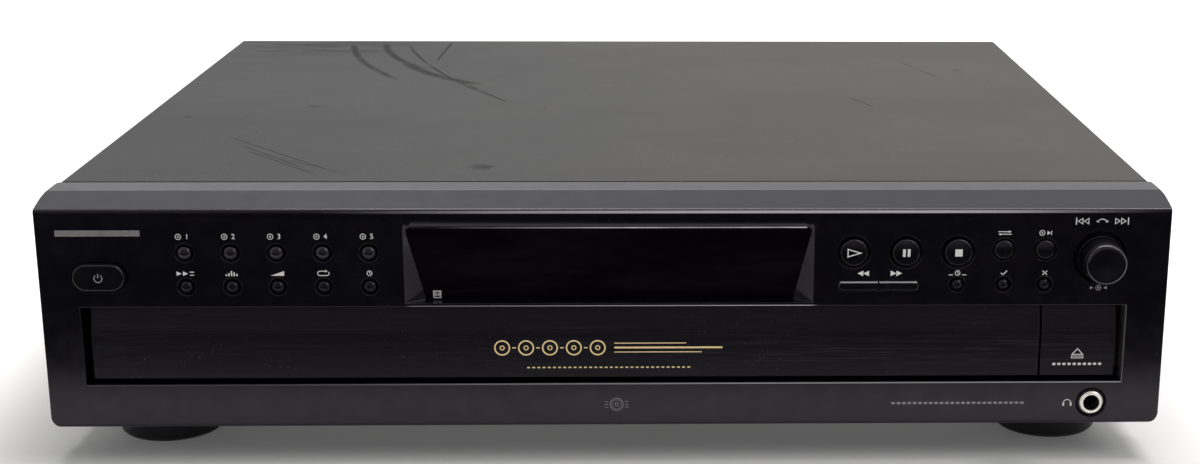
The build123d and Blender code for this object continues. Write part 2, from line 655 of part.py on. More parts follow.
def door_face(x0, x1, depth):
    """The two banded front shared by the tray door and the open/close key."""
    z0 = SLOT_Z0 + DOOR_GAP_LOW
    z1 = SLOT_Z1 - DOOR_GAP_TOP
    front = FACE_Y + DOOR_IN
    outline = [(front + 0.4, z0), (front + depth, z0), (front + depth, z1),
               (front + DOOR_LEAN, z1), (front, z1 - DOOR_BAND), (front, z0 + 0.4)]
    return side_prism(outline, x0, x1)


OPEN_KEY_X = SLOT_X1 - DOOR_GAP_SIDE - KEY_W / 2
DOOR_BACK = FACE_Y + DOOR_IN + DOOR_T
OPEN_KEY_Z = (SLOT_Z0 + SLOT_Z1) / 2


def open_close_button():
    x0 = OPEN_KEY_X - KEY_W / 2
    key = door_face(x0, x0 + KEY_W, DOOR_T)
    key += pin_y(OPEN_KEY_X, OPEN_KEY_Z, DOOR_BACK - 0.5, stem_end(OPEN_TRAVEL), KEY_STEM_R * 2)
    return key


def jog_shaft():
    z = BASE_Z + JOG_H
    return pin_y(JOG_X, z, FACE_Y - 8.0, BOARD_Y - 1.4, JOG_SHAFT_R)


def jog_knob():
    front = FACE_Y - KNOB_OUT
    back = FACE_Y + JOG_BACK_IN
    hollow = FACE_Y - JOG_BUSH_OUT - JOG_TRAVEL - 0.4
    z = BASE_Z + JOG_H
    lines = [
        Line((0, front + 0.35), (JOG_R_FRONT - 1.5, front)),
        ThreePointArc((JOG_R_FRONT - 1.5, front), (JOG_R_FRONT - 0.4, front + 0.45), (JOG_R_FRONT, front + 1.5)),
        Line((JOG_R_FRONT, front + 1.5), (JOG_R_BACK - 0.15, back - 3.4)),
        Line((JOG_R_BACK - 0.15, back - 3.4), (JOG_R_BACK, back)),
        Line((JOG_R_BACK, back), (JOG_BUSH_R + 1.2, back)),
        Line((JOG_BUSH_R + 1.2, back), (JOG_BUSH_R + 1.2, hollow)),
        Line((JOG_BUSH_R + 1.2, hollow), (JOG_SHAFT_R + RUN, hollow)),
        Line((JOG_SHAFT_R + RUN, hollow), (JOG_SHAFT_R + RUN, FACE_Y - 8.2)),
        Line((JOG_SHAFT_R + RUN, FACE_Y - 8.2), (0, FACE_Y - 8.2)),
        Line((0, FACE_Y - 8.2), (0, front + 0.35)),
    ]
    return Pos(JOG_X, 0, z) * revolve(make_face(Wire(lines)), Axis.Y)


def phones_jack():
    z = BASE_Z + PHONES_H
    outline = [(PHONES_BORE_R, FACE_Y - 0.6), (PHONES_RING_R - 0.4, FACE_Y - 0.6), (PHONES_RING_R, FACE_Y - 0.2),
               (PHONES_RING_R, INSIDE_Y + 0.6), (PHONES_RING_R + 1.2, INSIDE_Y + 0.6),
               (PHONES_RING_R + 1.2, INSIDE_Y + 2.2), (PHONES_BORE_R, INSIDE_Y + 2.2)]
    ring = turned_y(PHONES_X, z, outline)
    y0 = INSIDE_Y + 2.2
    body = block(PHONES_X - 7, PHONES_X + 7, y0, y0 + 19, z - 5.8, z + 5.4)
    body -= pin_y(PHONES_X, z, y0 - 1, y0 + 17, PHONES_BORE_R)
    return [ring + body]


# -------------------------------------------------------------- electronics
def switch_places():
    places = [(x, BASE_Z + height, PLUNGER_R) for _, x, height, _ in ROUND_KEYS]
    middle = (SEEK_X0 + SEEK_X1) / 2
    offset = (SEEK_SPLIT / 2 + SEEK_X1 - middle) / 2
    places += [(middle + side * offset, BASE_Z + SEEK_KEY_H, PLUNGER_R) for side in (-1, 1)]
    places.append((OPEN_KEY_X, OPEN_KEY_Z, PLUNGER_R))
    return places


def control_board():
    board = block(-207, 208, BOARD_Y, BOARD_Y + BOARD_T, BOARD_Z0, BOARD_Z1)
    board += block(OPEN_KEY_X - 12, 208, BOARD_Y, BOARD_Y + BOARD_T, SLOT_Z0 + 6, BOARD_Z0 + 1)
    return board - [pin_y(x, BOARD_Z1 - 5, BOARD_Y - 1, BOARD_Y + 3, 1.6) for x in (-202, -82, 84, 203)]


def tact_switch(x, z, plunger):
    body = block(x - 3, x + 3, BOARD_Y - SWITCH_D, BOARD_Y, z - 3, z + 3)
    return body + pin_y(x, z, BOARD_Y - SWITCH_D - PLUNGER_D, BOARD_Y - SWITCH_D, plunger)


def front_switches():
    switches = [tact_switch(*place) for place in switch_places()]
    z = BASE_Z + POWER_KEY_H
    front = BOARD_Y - SWITCH_D
    power = block(POWER_X - 6, POWER_X + 6, front, BOARD_Y, z - 4.5, z + 4.5)
    power += pin_y(POWER_X, z, front - PLUNGER_D, front, 2.4)
    jog_z = BASE_Z + JOG_H
    encoder = block(JOG_X - 6.5, JOG_X + 6.5, BOARD_Y - 7.0, BOARD_Y, jog_z - 6, jog_z + 6)
    encoder += pin_y(JOG_X, jog_z, FACE_Y - JOG_BUSH_OUT, BOARD_Y - 6.9, JOG_BUSH_R)
    encoder -= pin_y(JOG_X, jog_z, FACE_Y - 2, BOARD_Y - 0.4, JOG_SHAFT_R + RUN)
    return switches + [power, encoder]


def display_tube():
    x0 = WINDOW_X0 + 14
    x1 = WINDOW_X1 - 14
    y1 = BOARD_Y
    glass = block(x0, x1, y1 - 5.4, y1 - 0.6, WINDOW_Z0 + 4, WINDOW_Z1 - 5)
    frame = block(x0 - 2.5, x1 + 2.5, y1 - 3.4, y1, WINDOW_Z0 + 2.4, WINDOW_Z1 - 3.4)
    pin_row = block(x0 + 6, x1 - 6, y1 - 2.0, y1, WINDOW_Z1 - 3.5, WINDOW_Z1 - 2.4)
    return glass + frame + pin_row


MAIN_BOARD_Z = 24.0
MAIN_BOARD = (173.0, 209.5, -82.0, 96.0)


def board_standoffs():
    x0, x1, y0, y1 = MAIN_BOARD
    return [(x, y) for x in (x0 + 5, x1 - 5) for y in (y0 + 6, y1 - 6)]


def main_board():
    x0, x1, y0, y1 = MAIN_BOARD
    top = MAIN_BOARD_Z + BOARD_T
    pieces = [block(x0, x1, y0, y1, MAIN_BOARD_Z, top)]
    for x, y, radius, height in ((184, 78, 8, 26), (200, 60, 6.5, 20), (183, 56, 5, 16), (198, 40, 4, 11)):
        can = post(x, y, top, top + height, radius)
        pieces.append(fillet(can.edges().group_by(Axis.Z)[-1], 0.8))
    for x, y, width, depth, height in ((186, 10, 14, 14, 2.6), (190, -22, 18, 8, 3.4), (188, -52, 10, 22, 3.0)):
        pieces.append(block(x - width / 2, x + width / 2, y - depth / 2, y + depth / 2, top, top + height))
    fins = block(204, 207, 0, 34, top, top + 24)
    fins += [block(199, 204, y, y + 1.4, top, top + 24) for y in (2, 8, 14, 20, 26, 31)]
    pieces.append(fins)
    return pieces


def power_transformer():
    x0, x1, y0, y1 = 174.0, 209.0, 112.0, 166.0
    z0 = PAN_TOP
    core = block(x0, x1, y0 + 8, y1 - 8, z0, z0 + 46)
    foot_plate = block(x0, x1, y0, y1, z0, z0 + 1.6)
    coil = block(x0 + 7, x1 - 7, y0 + 1, y1 - 1, z0 + 9, z0 + 37)
    coil = fillet(coil.edges().filter_by(Axis.Z), 3.0)
    window = block(x0 + 7, x1 - 7, y0 + 1, y1 - 1, z0 + 9, z0 + 37)
    return [core + foot_plate - window, coil & window]


# ----------------------------------------------------------- back connectors
def output_jacks():
    z = OUT_JACK_Z
    inside_y = BACK_Y - SHEET_T
    x_low = min(OUT_JACK_X) - 10
    x_high = max(OUT_JACK_X) + 10
    holder = block(x_low, x_high, inside_y - 12, inside_y, z - 9, z + 9)
    jacks = [holder]
    insert_r = OUT_JACK_R - OUT_JACK_WALL
    for x in OUT_JACK_X:
        sleeve = pin_y(x, z, BACK_Y + JACK_NECK, BACK_Y + JACK_OUT, OUT_JACK_R)
        sleeve += pin_y(x, z, inside_y, BACK_Y + JACK_NECK + 0.5, OUT_JACK_R - OUT_JACK_WALL / 3)
        sleeve -= pin_y(x, z, inside_y - 1, BACK_Y + JACK_OUT + 1, insert_r)
        insert = pin_y(x, z, inside_y, BACK_Y + JACK_OUT - 0.5, insert_r)
        insert -= pin_y(x, z, BACK_Y - 1, BACK_Y + JACK_OUT + 1, OUT_JACK_BORE_R)
        jacks.append(sleeve)
        jacks.append(insert)
    return jacks


def cord_gland():
    outline = [(CORD_BORE_R, BACK_Y - SHEET_T - 4), (CORD_BORE_R + 4.6, BACK_Y - SHEET_T - 4),
               (CORD_BORE_R + 4.6, BACK_Y - SHEET_T), (CORD_BORE_R + 2.9, BACK_Y - SHEET_T),
               (CORD_BORE_R + 2.9, BACK_Y), (CORD_BORE_R + 5.2, BACK_Y), (CORD_BORE_R + 5.2, BACK_Y + 2),
               (CORD_BORE_R + 3.4, BACK_Y + 5), (CORD_BORE_R, BACK_Y + 5)]
    return turned_y(CORD_X, CORD_Z, outline)


# ---------------------------------------------------------- mechanism frame
RAIL_Z0 = 34.0
RAIL_Z1 = 50.0
RAIL_T = 9.0
RAIL_Y0 = PANEL_Y + 3.0
REAR_BEAM_Y = 183.5
FRAME_Y1 = 187.5
FRAME_Z0 = PAN_TOP
PLATE_Z = FRAME_Z0 + 2.0
RAIL_LEFT = TRAY_X0 - 0.5
RAIL_RIGHT = TRAY_X1 + 0.5
DRIVE_X = RACK_X - RACK_MODULE * DRIVE_TEETH / 2 - 0.1 * RACK_MODULE
PINION_DISTANCE = WHEEL_MODULE * (WHEEL_TEETH + PINION_TEETH) / 2 + 0.12
LOAD_X = DRIVE_X + PINION_DISTANCE * cos(radians(PINION_AT))
LOAD_Y = DRIVE_Y + PINION_DISTANCE * sin(radians(PINION_AT))
DRIVE_PIN_R = 2.5
LOAD_PIN_R = 2.0
SLIDER_Y = 73.0
SLIDER_T = 2.5
CLAMP_Y0 = SPINDLE_Y - 18.0
CLAMP_Y1 = SPINDLE_Y + 18.0


def rail(side):
    inner = RAIL_LEFT if side < 0 else RAIL_RIGHT
    outer = inner + side * RAIL_T
    x0 = min(inner, outer)
    x1 = max(inner, outer)
    bar = block(x0, x1, RAIL_Y0, FRAME_Y1, RAIL_Z0, RAIL_Z1)
    groove_x = inner + side * (RUNNER_W + 0.1)
    half = RUNNER_T / 2 + FIT
    bar -= block(min(inner, groove_x) - 1 * (side > 0), max(inner, groove_x) + 1 * (side < 0),
                 RAIL_Y0 - 1, FRAME_Y1 + 1, RUNNER_Z - half, RUNNER_Z + half)
    for y in (RAIL_Y0, 0.0, REAR_BEAM_Y - 8.0):
        bar += block(x0, x1, y, y + 12.0 if y < REAR_BEAM_Y - 8 else FRAME_Y1, FRAME_Z0, RAIL_Z0)
    bar += block(x0, x1, CLAMP_Y0, CLAMP_Y1, RAIL_Z1, CLAMP_Z)
    return bar


def mech_frame():
    x0 = RAIL_LEFT - RAIL_T
    x1 = RAIL_RIGHT + RAIL_T
    frame = rail(-1) + rail(1)
    frame += block(x0, x1, RAIL_Y0, RAIL_Y0 + 8, FRAME_Z0, 30)
    frame += block(x0, x1, REAR_BEAM_Y, FRAME_Y1, FRAME_Z0, 40)
    # floor round the pickup deck, with a well under its motor
    frame += block(DECK_X0 - 12, DECK_X1 + 12, SLIDER_Y - 7, FRAME_Y1, FRAME_Z0, PLATE_Z)
    frame -= block(DECK_X0 + 4, DECK_X1 - 4, SLIDER_Y + 7, PIVOT_Y - 8, FRAME_Z0 - 1, PLATE_Z + 1)
    for y0, y1 in ((SLIDER_Y - 1.2, SLIDER_Y - FIT), (SLIDER_Y + SLIDER_T + FIT, SLIDER_Y + SLIDER_T + 1.2)):
        frame += block(DECK_X0, DECK_X1, y0, y1, PLATE_Z, PLATE_Z + 4)
    # pivot brackets
    for inner, outer in ((DECK_X0 - 0.5, DECK_X0 - 7.0), (DECK_X1 + 0.5, DECK_X1 + 7.0)):
        frame += block(min(inner, outer), max(inner, outer), PIVOT_Y - 5, REAR_BEAM_Y + 1, PLATE_Z - 1, PIVOT_Z + 5)
    frame -= pin_x(PIVOT_Y, PIVOT_Z, DECK_X0 - 20, DECK_X1 + 20, PIVOT_R + RUN)
    # floor and pins of the loading gears
    frame += block(DRIVE_X - 28, x1, RAIL_Y0, LOAD_Y + 18, FRAME_Z0, PLATE_Z)
    frame += post(DRIVE_X, DRIVE_Y, PLATE_Z - 1, 39.2, DRIVE_PIN_R)
    frame += post(DRIVE_X, DRIVE_Y, PLATE_Z - 1, 25.6, DRIVE_PIN_R + 3)
    frame += post(LOAD_X, LOAD_Y, PLATE_Z - 1, 31.6, LOAD_PIN_R)
    # shelf for the loading motor
    frame += block(RAIL_RIGHT + 2, LOAD_MOTOR_X + 14, LOAD_Y - 14, LOAD_Y + 14, RAIL_Z0 - 4, RAIL_Z0 - 1)
    frame += block(RAIL_RIGHT + 2, x1, LOAD_Y - 14, LOAD_Y + 14, RAIL_Z0 - 4, RAIL_Z0 + 1)
    frame -= post(LOAD_MOTOR_X, LOAD_Y, RAIL_Z0 - 5, RAIL_Z0, 3.6)
    return frame


def clamp_bridge():
    x0 = RAIL_LEFT - RAIL_T
    x1 = RAIL_RIGHT + RAIL_T
    plate = block(x0, x1, CLAMP_Y0, CLAMP_Y1, CLAMP_Z, CLAMP_Z + SHEET_T)
    for y in (CLAMP_Y0, CLAMP_Y1 - SHEET_T):
        plate += block(x0 + 12, x1 - 12, y, y + SHEET_T, CLAMP_Z, CLAMP_Z + 8)
    plate -= post(SPINDLE_X, SPINDLE_Y, CLAMP_Z - 1, CLAMP_Z + 3, PUCK_R + 0.8)
    return plate


def clamp_puck():
    lower_z = CLAMP_Z - 3.0
    outline = [(0, CLAMP_Z + 4.2), (9, CLAMP_Z + 4.2), (10, CLAMP_Z + 3.4), (16, CLAMP_Z + 3.4),
               (16, CLAMP_Z + SHEET_T + FIT), (PUCK_R, CLAMP_Z + SHEET_T + FIT), (PUCK_R, lower_z + 1.6),
               (PLATTER_R, lower_z + 1.6), (PLATTER_R, lower_z), (BOSS_R + 0.8, lower_z),
               (BOSS_R + 0.8, lower_z + 3.2), (0, lower_z + 3.2)]
    return turned_z(SPINDLE_X, SPINDLE_Y, outline)


# ------------------------------------------------------------- tray loading
WHEEL_Z0 = 26.0
WHEEL_Z1 = 31.0


def loading_motor():
    z0 = RAIL_Z0 - 1
    body = post(LOAD_MOTOR_X, LOAD_Y, z0, z0 + 20, LOAD_MOTOR_R)
    body = fillet(body.edges().group_by(Axis.Z)[-1], 1.2)
    shaft = post(LOAD_MOTOR_X, LOAD_Y, 20.0, z0, 1.2)
    small = turned_z(LOAD_MOTOR_X, LOAD_Y, pulley_outline(SMALL_PULLEY_R, 1.2, 20.2, 24.2, 0))
    return body + shaft + small


def loading_pulley():
    pulley = turned_z(LOAD_X, LOAD_Y, pulley_outline(LOAD_PULLEY_R, 1.2, 20.2, 24.2, LOAD_PIN_R + RUN))
    pinion = gear(LOAD_X, LOAD_Y, 24.2, WHEEL_Z1, WHEEL_MODULE, PINION_TEETH, LOAD_PHASE)
    pinion -= post(LOAD_X, LOAD_Y, 20, WHEEL_Z1 + 1, LOAD_PIN_R + RUN)
    return pulley + pinion


def loading_belt():
    return belt(LOAD_X, LOAD_Y, LOAD_PULLEY_R, LOAD_MOTOR_X, LOAD_Y, SMALL_PULLEY_R, 21.2, 23.2)


def drive_gear():
    wheel = gear(DRIVE_X, DRIVE_Y, WHEEL_Z0, WHEEL_Z1, WHEEL_MODULE, WHEEL_TEETH, WHEEL_PHASE)
    sleeve = post(DRIVE_X, DRIVE_Y, WHEEL_Z1 - 1, 34.8, 9)
    pinion = gear(DRIVE_X, DRIVE_Y, 34.8, 39.4, RACK_MODULE, DRIVE_TEETH, DRIVE_PHASE)
    bore = post(DRIVE_X, DRIVE_Y, 20, 45, DRIVE_PIN_R + RUN)
    return wheel + sleeve + pinion - bore


# Teeth in mesh at rest: a rack tooth gap, or a wheel tooth gap, faces each tooth.
RACK_PITCH = pi * RACK_MODULE
RACK_TEETH = ceil(TRAY_TRAVEL / RACK_PITCH) + 5
RACK_Y0 = DRIVE_Y - RACK_PITCH * 2.0
DRIVE_PHASE = 0.0
WHEEL_PHASE = PINION_AT
LOAD_PHASE = PINION_AT + 180.0 + 180.0 / PINION_TEETH


# --------------------------------------------------------------------- tray
def tray():
    z0 = TRAY_FLOOR_Z
    y0 = DOOR_BACK
    body = block(TRAY_X0, TRAY_X1, y0, TRAY_Y1, z0, TRAY_TOP_Z)
    inner = block(TRAY_X0 + TRAY_WALL, TRAY_X1 - TRAY_WALL, y0 + TRAY_WALL, TRAY_Y1 - TRAY_WALL,
                  z0 - 1, TRAY_TOP_Z - TRAY_DECK_T)
    well_r = CAROUSEL_R + WELL_GAP
    corners = inner - post(TRAY_X, CAROUSEL_Y, z0 - 2, TRAY_TOP_Z + 1, well_r + TRAY_WALL)
    body -= corners
    rack_back = RACK_X + RACK_MODULE * 1.2
    rack_y1 = RACK_Y0 + RACK_PITCH * RACK_TEETH
    body += block(rack_back, rack_back + 2.4, y0 + 1, rack_y1, z0, TRAY_TOP_Z - 1)
    body -= post(TRAY_X, CAROUSEL_Y, z0 + TRAY_FLOOR_T, TRAY_TOP_Z + 1, well_r)
    body += rack(RACK_X, -1, RACK_Y0, RACK_TEETH, 34.8, z0 + 0.5, RACK_MODULE, 2.4)
    for x0, x1 in ((TRAY_X0 - RUNNER_W, TRAY_X0 + 1), (TRAY_X1 - 1, TRAY_X1 + RUNNER_W)):
        body += block(x0, x1, y0 + 6, TRAY_Y1, RUNNER_Z - RUNNER_T / 2, RUNNER_Z + RUNNER_T / 2)
    body -= block(LIFT_SLOT_X0, LIFT_SLOT_X1, LIFT_SLOT_Y0, TRAY_Y1 + 1, z0 - 8, TRAY_TOP_Z + 1)
    body += post(TRAY_X, CAROUSEL_Y, z0 + 1, CAROUSEL_Z0 + CAROUSEL_T - 0.3, HUB_R)
    body += post(TRAY_X, CAROUSEL_Y, z0 + 1, CAROUSEL_Z0 - HUB_GEAR_T - FIT, HUB_R + 3)
    for angle in (20, 160, 205, 270, 335):
        x = TRAY_X + GLIDE_RING * cos(radians(angle))
        y = CAROUSEL_Y + GLIDE_RING * sin(radians(angle))
        body += post(x, y, z0 + 1, CAROUSEL_Z0 - FIT, GLIDE_R)
    body -= post(TABLE_X, TABLE_Y, z0 - 1, z0 + 5, TABLE_SLEEVE_R + RUN)
    return body


HUB_GEAR_T = 4.5
TABLE_SLEEVE_R = 3.0
TABLE_DISTANCE = HUB_MODULE * (HUB_TEETH + TABLE_TEETH) / 2 + 0.14
TABLE_X = TRAY_X + TABLE_DISTANCE * cos(radians(TABLE_GEAR_AT))
TABLE_Y = CAROUSEL_Y + TABLE_DISTANCE * sin(radians(TABLE_GEAR_AT))
TABLE_PULLEY_Z0 = 35.0
TABLE_PULLEY_Z1 = 38.6


def tray_door():
    x0 = SLOT_X0 + DOOR_GAP_SIDE
    x1 = OPEN_KEY_X - KEY_W / 2 - DOOR_GAP_KEY
    return door_face(x0, x1, DOOR_T)


def pocket_places():
    places = []
    for i in range(DISCS):
        angle = radians(90 + 360 * i / DISCS)
        places.append((TRAY_X + POCKET_RING * cos(angle), CAROUSEL_Y + POCKET_RING * sin(angle)))
    return places


def carousel():
    z1 = CAROUSEL_Z0 + CAROUSEL_T
    plate = post(TRAY_X, CAROUSEL_Y, CAROUSEL_Z0, z1, CAROUSEL_R)
    plate = chamfer(plate.edges().group_by(Axis.Z)[-1], 0.5)
    floor_z = z1 - POCKET_DEPTH
    cuts = []
    for i, (x, y) in enumerate(pocket_places()):
        cuts.append(post(x, y, floor_z, z1 + 1, DISC_R + POCKET_GAP))
        cuts.append(post(x, y, floor_z - SMALL_POCKET_DEPTH, z1 + 1, SMALL_POCKET_R))
        cuts.append(post(x, y, CAROUSEL_Z0 - 1, z1 + 1, KEYHOLE_R))
        slot = block(POCKET_RING, CAROUSEL_R + 5, -KEYHOLE_R, KEYHOLE_R, CAROUSEL_Z0 - 1, z1 + 1)
        cuts.append(Pos(TRAY_X, CAROUSEL_Y, 0) * Rot(0, 0, 90 + 360 * i / DISCS) * slot)
    plate -= cuts
    hub = gear(TRAY_X, CAROUSEL_Y, CAROUSEL_Z0 - HUB_GEAR_T, CAROUSEL_Z0 + 0.2, HUB_MODULE, HUB_TEETH)
    plate += hub
    return plate - post(TRAY_X, CAROUSEL_Y, CAROUSEL_Z0 - 10, z1 + 1, HUB_R + RUN)


def carousel_cap():
    z0 = CAROUSEL_Z0 + CAROUSEL_T
    lines = [
        Line((0, z0 + 1.4), (0, z0 + CAP_H)),
        Line((0, z0 + CAP_H), (CAP_R - 8, z0 + CAP_H)),
        ThreePointArc((CAP_R - 8, z0 + CAP_H), (CAP_R - 3, z0 + CAP_H * 0.78), (CAP_R, z0)),
        Line((CAP_R, z0), (CAP_R - 4, z0)),
        Line((CAP_R - 4, z0), (CAP_R - 6, z0 + 1.4)),
        Line((CAP_R - 6, z0 + 1.4), (0, z0 + 1.4)),
    ]
    return Pos(TRAY_X, CAROUSEL_Y, 0) * revolve(Plane.XZ * make_face(Wire(lines)), Axis.Z)


def table_gear():
    mesh_phase = TABLE_GEAR_AT + 180.0 + 180.0 / TABLE_TEETH + hub_tooth_offset() * HUB_TEETH / TABLE_TEETH
    toothed = gear(TABLE_X, TABLE_Y, CAROUSEL_Z0 - HUB_GEAR_T, CAROUSEL_Z0 - 0.8, HUB_MODULE, TABLE_TEETH,
                   mesh_phase)
    sleeve = post(TABLE_X, TABLE_Y, TABLE_PULLEY_Z1 - 1, CAROUSEL_Z0 - HUB_GEAR_T + 1, TABLE_SLEEVE_R)
    wheel = turned_z(TABLE_X, TABLE_Y, pulley_outline(TABLE_PULLEY_R, 1.0, TABLE_PULLEY_Z0, TABLE_PULLEY_Z1, 0))
    return toothed + sleeve + wheel


def hub_tooth_offset():
    """How far the hub's nearest tooth is turned from the line to the table gear, in degrees."""
    pitch = 360.0 / HUB_TEETH
    return (TABLE_GEAR_AT + pitch / 2) % pitch - pitch / 2


def table_motor():
    top = TRAY_TOP_Z - TRAY_DECK_T
    body = post(TABLE_MOTOR_X, TABLE_MOTOR_Y, TRAY_FLOOR_Z - 0.6, top, TABLE_MOTOR_R)
    small = turned_z(TABLE_MOTOR_X, TABLE_MOTOR_Y,
                     pulley_outline(SMALL_PULLEY_R, 1.0, TABLE_PULLEY_Z0, TABLE_PULLEY_Z1, 0))
    shaft = post(TABLE_MOTOR_X, TABLE_MOTOR_Y, TABLE_PULLEY_Z1 - 1, TRAY_FLOOR_Z, 1.2)
    return body + small + shaft


def table_belt():
    return belt(TABLE_X, TABLE_Y, TABLE_PULLEY_R, TABLE_MOTOR_X, TABLE_MOTOR_Y, SMALL_PULLEY_R,
                TABLE_PULLEY_Z0 + 0.9, TABLE_PULLEY_Z1 - 0.9)


# -------------------------------------------------------------- pickup unit
# Everything on the deck is drawn level, as it plays, and then lowered about its pivots.
DECK_Z = PIVOT_Z
DECK_TOP = DECK_Z + DECK_T
SPINDLE_BACK = PIVOT_Y - SPINDLE_Y
SLED_Y = SPINDLE_Y + SLED_INNER          # lens at the inner end
SLED_Y0 = SLED_Y - 9.0
SLED_Y1 = SLED_Y + 15.0
OPENING_Y0 = SLED_Y0 - 0.8
OPENING_Y1 = SLED_Y1 + SLED_TRAVEL + 0.8
ROD_Z = DECK_TOP + 2.4
LENS_TOP = PLATTER_TOP - 2.0
FRONT_PIN_Z = DECK_Z - 0.5
FRONT_PIN_BACK = PIVOT_Y - SLIDER_Y - SLIDER_T / 2
SLED_RACK_X = SPINDLE_X + ROD_SPREAD + 7.4
SLED_GEAR_Y = PIVOT_Y - SLED_GEAR_BACK
SLED_GEAR_X = SLED_RACK_X + SLED_MODULE * SLED_TEETH / 2 + 0.1
SLED_RACK_TEETH = ceil(SLED_TRAVEL / (pi * SLED_MODULE)) + 4
SLED_RACK_Z0 = DECK_Z - 3.0
SLED_RACK_Z1 = DECK_Z - 0.6
SLED_RACK_BACK = 2.8
SLED_SHAFT_R = 1.0
SLED_POST_AT = 9.6                       # the sled motor's two posts stand this far from its gear
SLED_POST_R = 1.5


def lowered(shape):
    pivot = Pos(0, PIVOT_Y, PIVOT_Z)
    return pivot * Rot(LIFT_ANGLE, 0, 0) * Pos(0, -PIVOT_Y, -PIVOT_Z) * shape


def base_unit():
    y0 = PIVOT_Y - DECK_FRONT
    y1 = PIVOT_Y + 4.0
    deck = block(DECK_X0, DECK_X1, y0, y1, DECK_Z, DECK_TOP)
    for x0 in (DECK_X0, DECK_X1 - 2.0):
        deck += block(x0, x0 + 2.0, y0, y1, DECK_Z - DECK_FLANGE, DECK_Z + 0.5)
    deck += block(DECK_X0, DECK_X1, y0, y0 + 2.0, DECK_Z - DECK_FLANGE, DECK_Z + 0.5)
    deck -= block(SPINDLE_X - 20, SPINDLE_X + 20, OPENING_Y0, OPENING_Y1, DECK_Z - 1, DECK_TOP + 1)
    deck -= post(SPINDLE_X, SPINDLE_Y, DECK_Z - 1, DECK_TOP + 1, 3.0)
    for y in (SLED_GEAR_Y - SLED_POST_AT, SLED_GEAR_Y + SLED_POST_AT):
        deck += post(SLED_GEAR_X, y, DECK_Z - SLED_MOTOR_DROP, DECK_Z + 0.5, SLED_POST_R)
    deck -= post(SLED_GEAR_X, SLED_GEAR_Y, DECK_Z - 1, DECK_TOP + 1, SLED_SHAFT_R + RUN)
    for x in (SPINDLE_X - ROD_SPREAD, SPINDLE_X + ROD_SPREAD):
        for stop_y0, stop_y1 in ((OPENING_Y0 - 3.0, OPENING_Y0 - 0.2), (OPENING_Y1 + 0.2, OPENING_Y1 + 3.4)):
            holder = block(x - 3, x + 3, stop_y0, stop_y1, DECK_TOP - 0.5, ROD_Z + 2.6)
            deck += holder
        deck -= pin_y(x, ROD_Z, OPENING_Y0 - 2.0, OPENING_Y1 + 2.4, ROD_R + 0.02)
    deck += pin_x(PIVOT_Y, PIVOT_Z, DECK_X0 - 6.5, DECK_X0 + 1, PIVOT_R)
    deck += pin_x(PIVOT_Y, PIVOT_Z, DECK_X1 - 1, DECK_X1 + 6.5, PIVOT_R)
    deck += pin_y(SPINDLE_X, FRONT_PIN_Z, SLIDER_Y - 2.2, y0 + 1, 2.0)
    return lowered(deck)


def guide_rods():
    rods = []
    for x in (SPINDLE_X - ROD_SPREAD, SPINDLE_X + ROD_SPREAD):
        rods.append(lowered(pin_y(x, ROD_Z, OPENING_Y0 - 2.0, OPENING_Y1 + 2.4, ROD_R)))
    return rods


def optical_pickup():
    sled = block(SPINDLE_X - 22, SPINDLE_X + 22, SLED_Y0, SLED_Y1, DECK_TOP + 0.4, ROD_Z + 2.2)
    sled += block(SPINDLE_X - 17.6, SPINDLE_X + 17.6, SLED_Y0, SLED_Y1, DECK_Z - 3, DECK_TOP + 1)
    sled += turned_z(SPINDLE_X, SLED_Y, [(0, ROD_Z), (7.5, ROD_Z), (7.5, LENS_TOP - 2.4), (6.0, LENS_TOP - 1.4),
                                         (3.2, LENS_TOP - 1.4), (2.6, LENS_TOP - 0.4), (0, LENS_TOP)])
    rack_y0 = SLED_GEAR_Y - pi * SLED_MODULE * (SLED_RACK_TEETH - 1)
    rack_in_x = SLED_RACK_X - 1.2 * SLED_MODULE - SLED_RACK_BACK
    sled += rack(SLED_RACK_X, 1, rack_y0, SLED_RACK_TEETH, SLED_RACK_Z0, SLED_RACK_Z1, SLED_MODULE, SLED_RACK_BACK)
    sled += block(SPINDLE_X + 17, rack_in_x + 0.3, SLED_Y0, SLED_Y1, SLED_RACK_Z0, SLED_RACK_Z1)
    for x in (SPINDLE_X - ROD_SPREAD, SPINDLE_X + ROD_SPREAD):
        sled -= pin_y(x, ROD_Z, SLED_Y0 - 1, SLED_Y1 + 1, ROD_R + RUN)
    return lowered(sled)


def sled_gear():
    wheel = gear(SLED_GEAR_X, SLED_GEAR_Y, SLED_RACK_Z0 - 0.2, SLED_RACK_Z1 + 0.2, SLED_MODULE, SLED_TEETH, 180.0)
    wheel += post(SLED_GEAR_X, SLED_GEAR_Y, DECK_Z - 7, DECK_TOP - 0.2, SLED_SHAFT_R)
    return lowered(wheel)


def unit_motors():
    spindle = post(SPINDLE_X, SPINDLE_Y, DECK_Z - SPINDLE_MOTOR_H, DECK_Z, SPINDLE_MOTOR_R)
    spindle = chamfer(spindle.edges().group_by(Axis.Z)[0], 1.2)
    spindle -= post(SPINDLE_X, SPINDLE_Y, DECK_Z - 7, DECK_Z + 1, 1.5 + RUN)
    motor_top = DECK_Z - SLED_MOTOR_DROP
    ear = SLED_POST_AT + SLED_POST_R
    sled_motor = post(SLED_GEAR_X, SLED_GEAR_Y, motor_top - 6.0, motor_top, SLED_MOTOR_R)
    sled_motor += block(SLED_GEAR_X - 2.5, SLED_GEAR_X + 2.5, SLED_GEAR_Y - ear, SLED_GEAR_Y + ear,
                        motor_top - 1.0, motor_top)
    sled_motor -= post(SLED_GEAR_X, SLED_GEAR_Y, DECK_Z - 7.5, DECK_Z, SLED_SHAFT_R + RUN)
    return [lowered(spindle), lowered(sled_motor)]


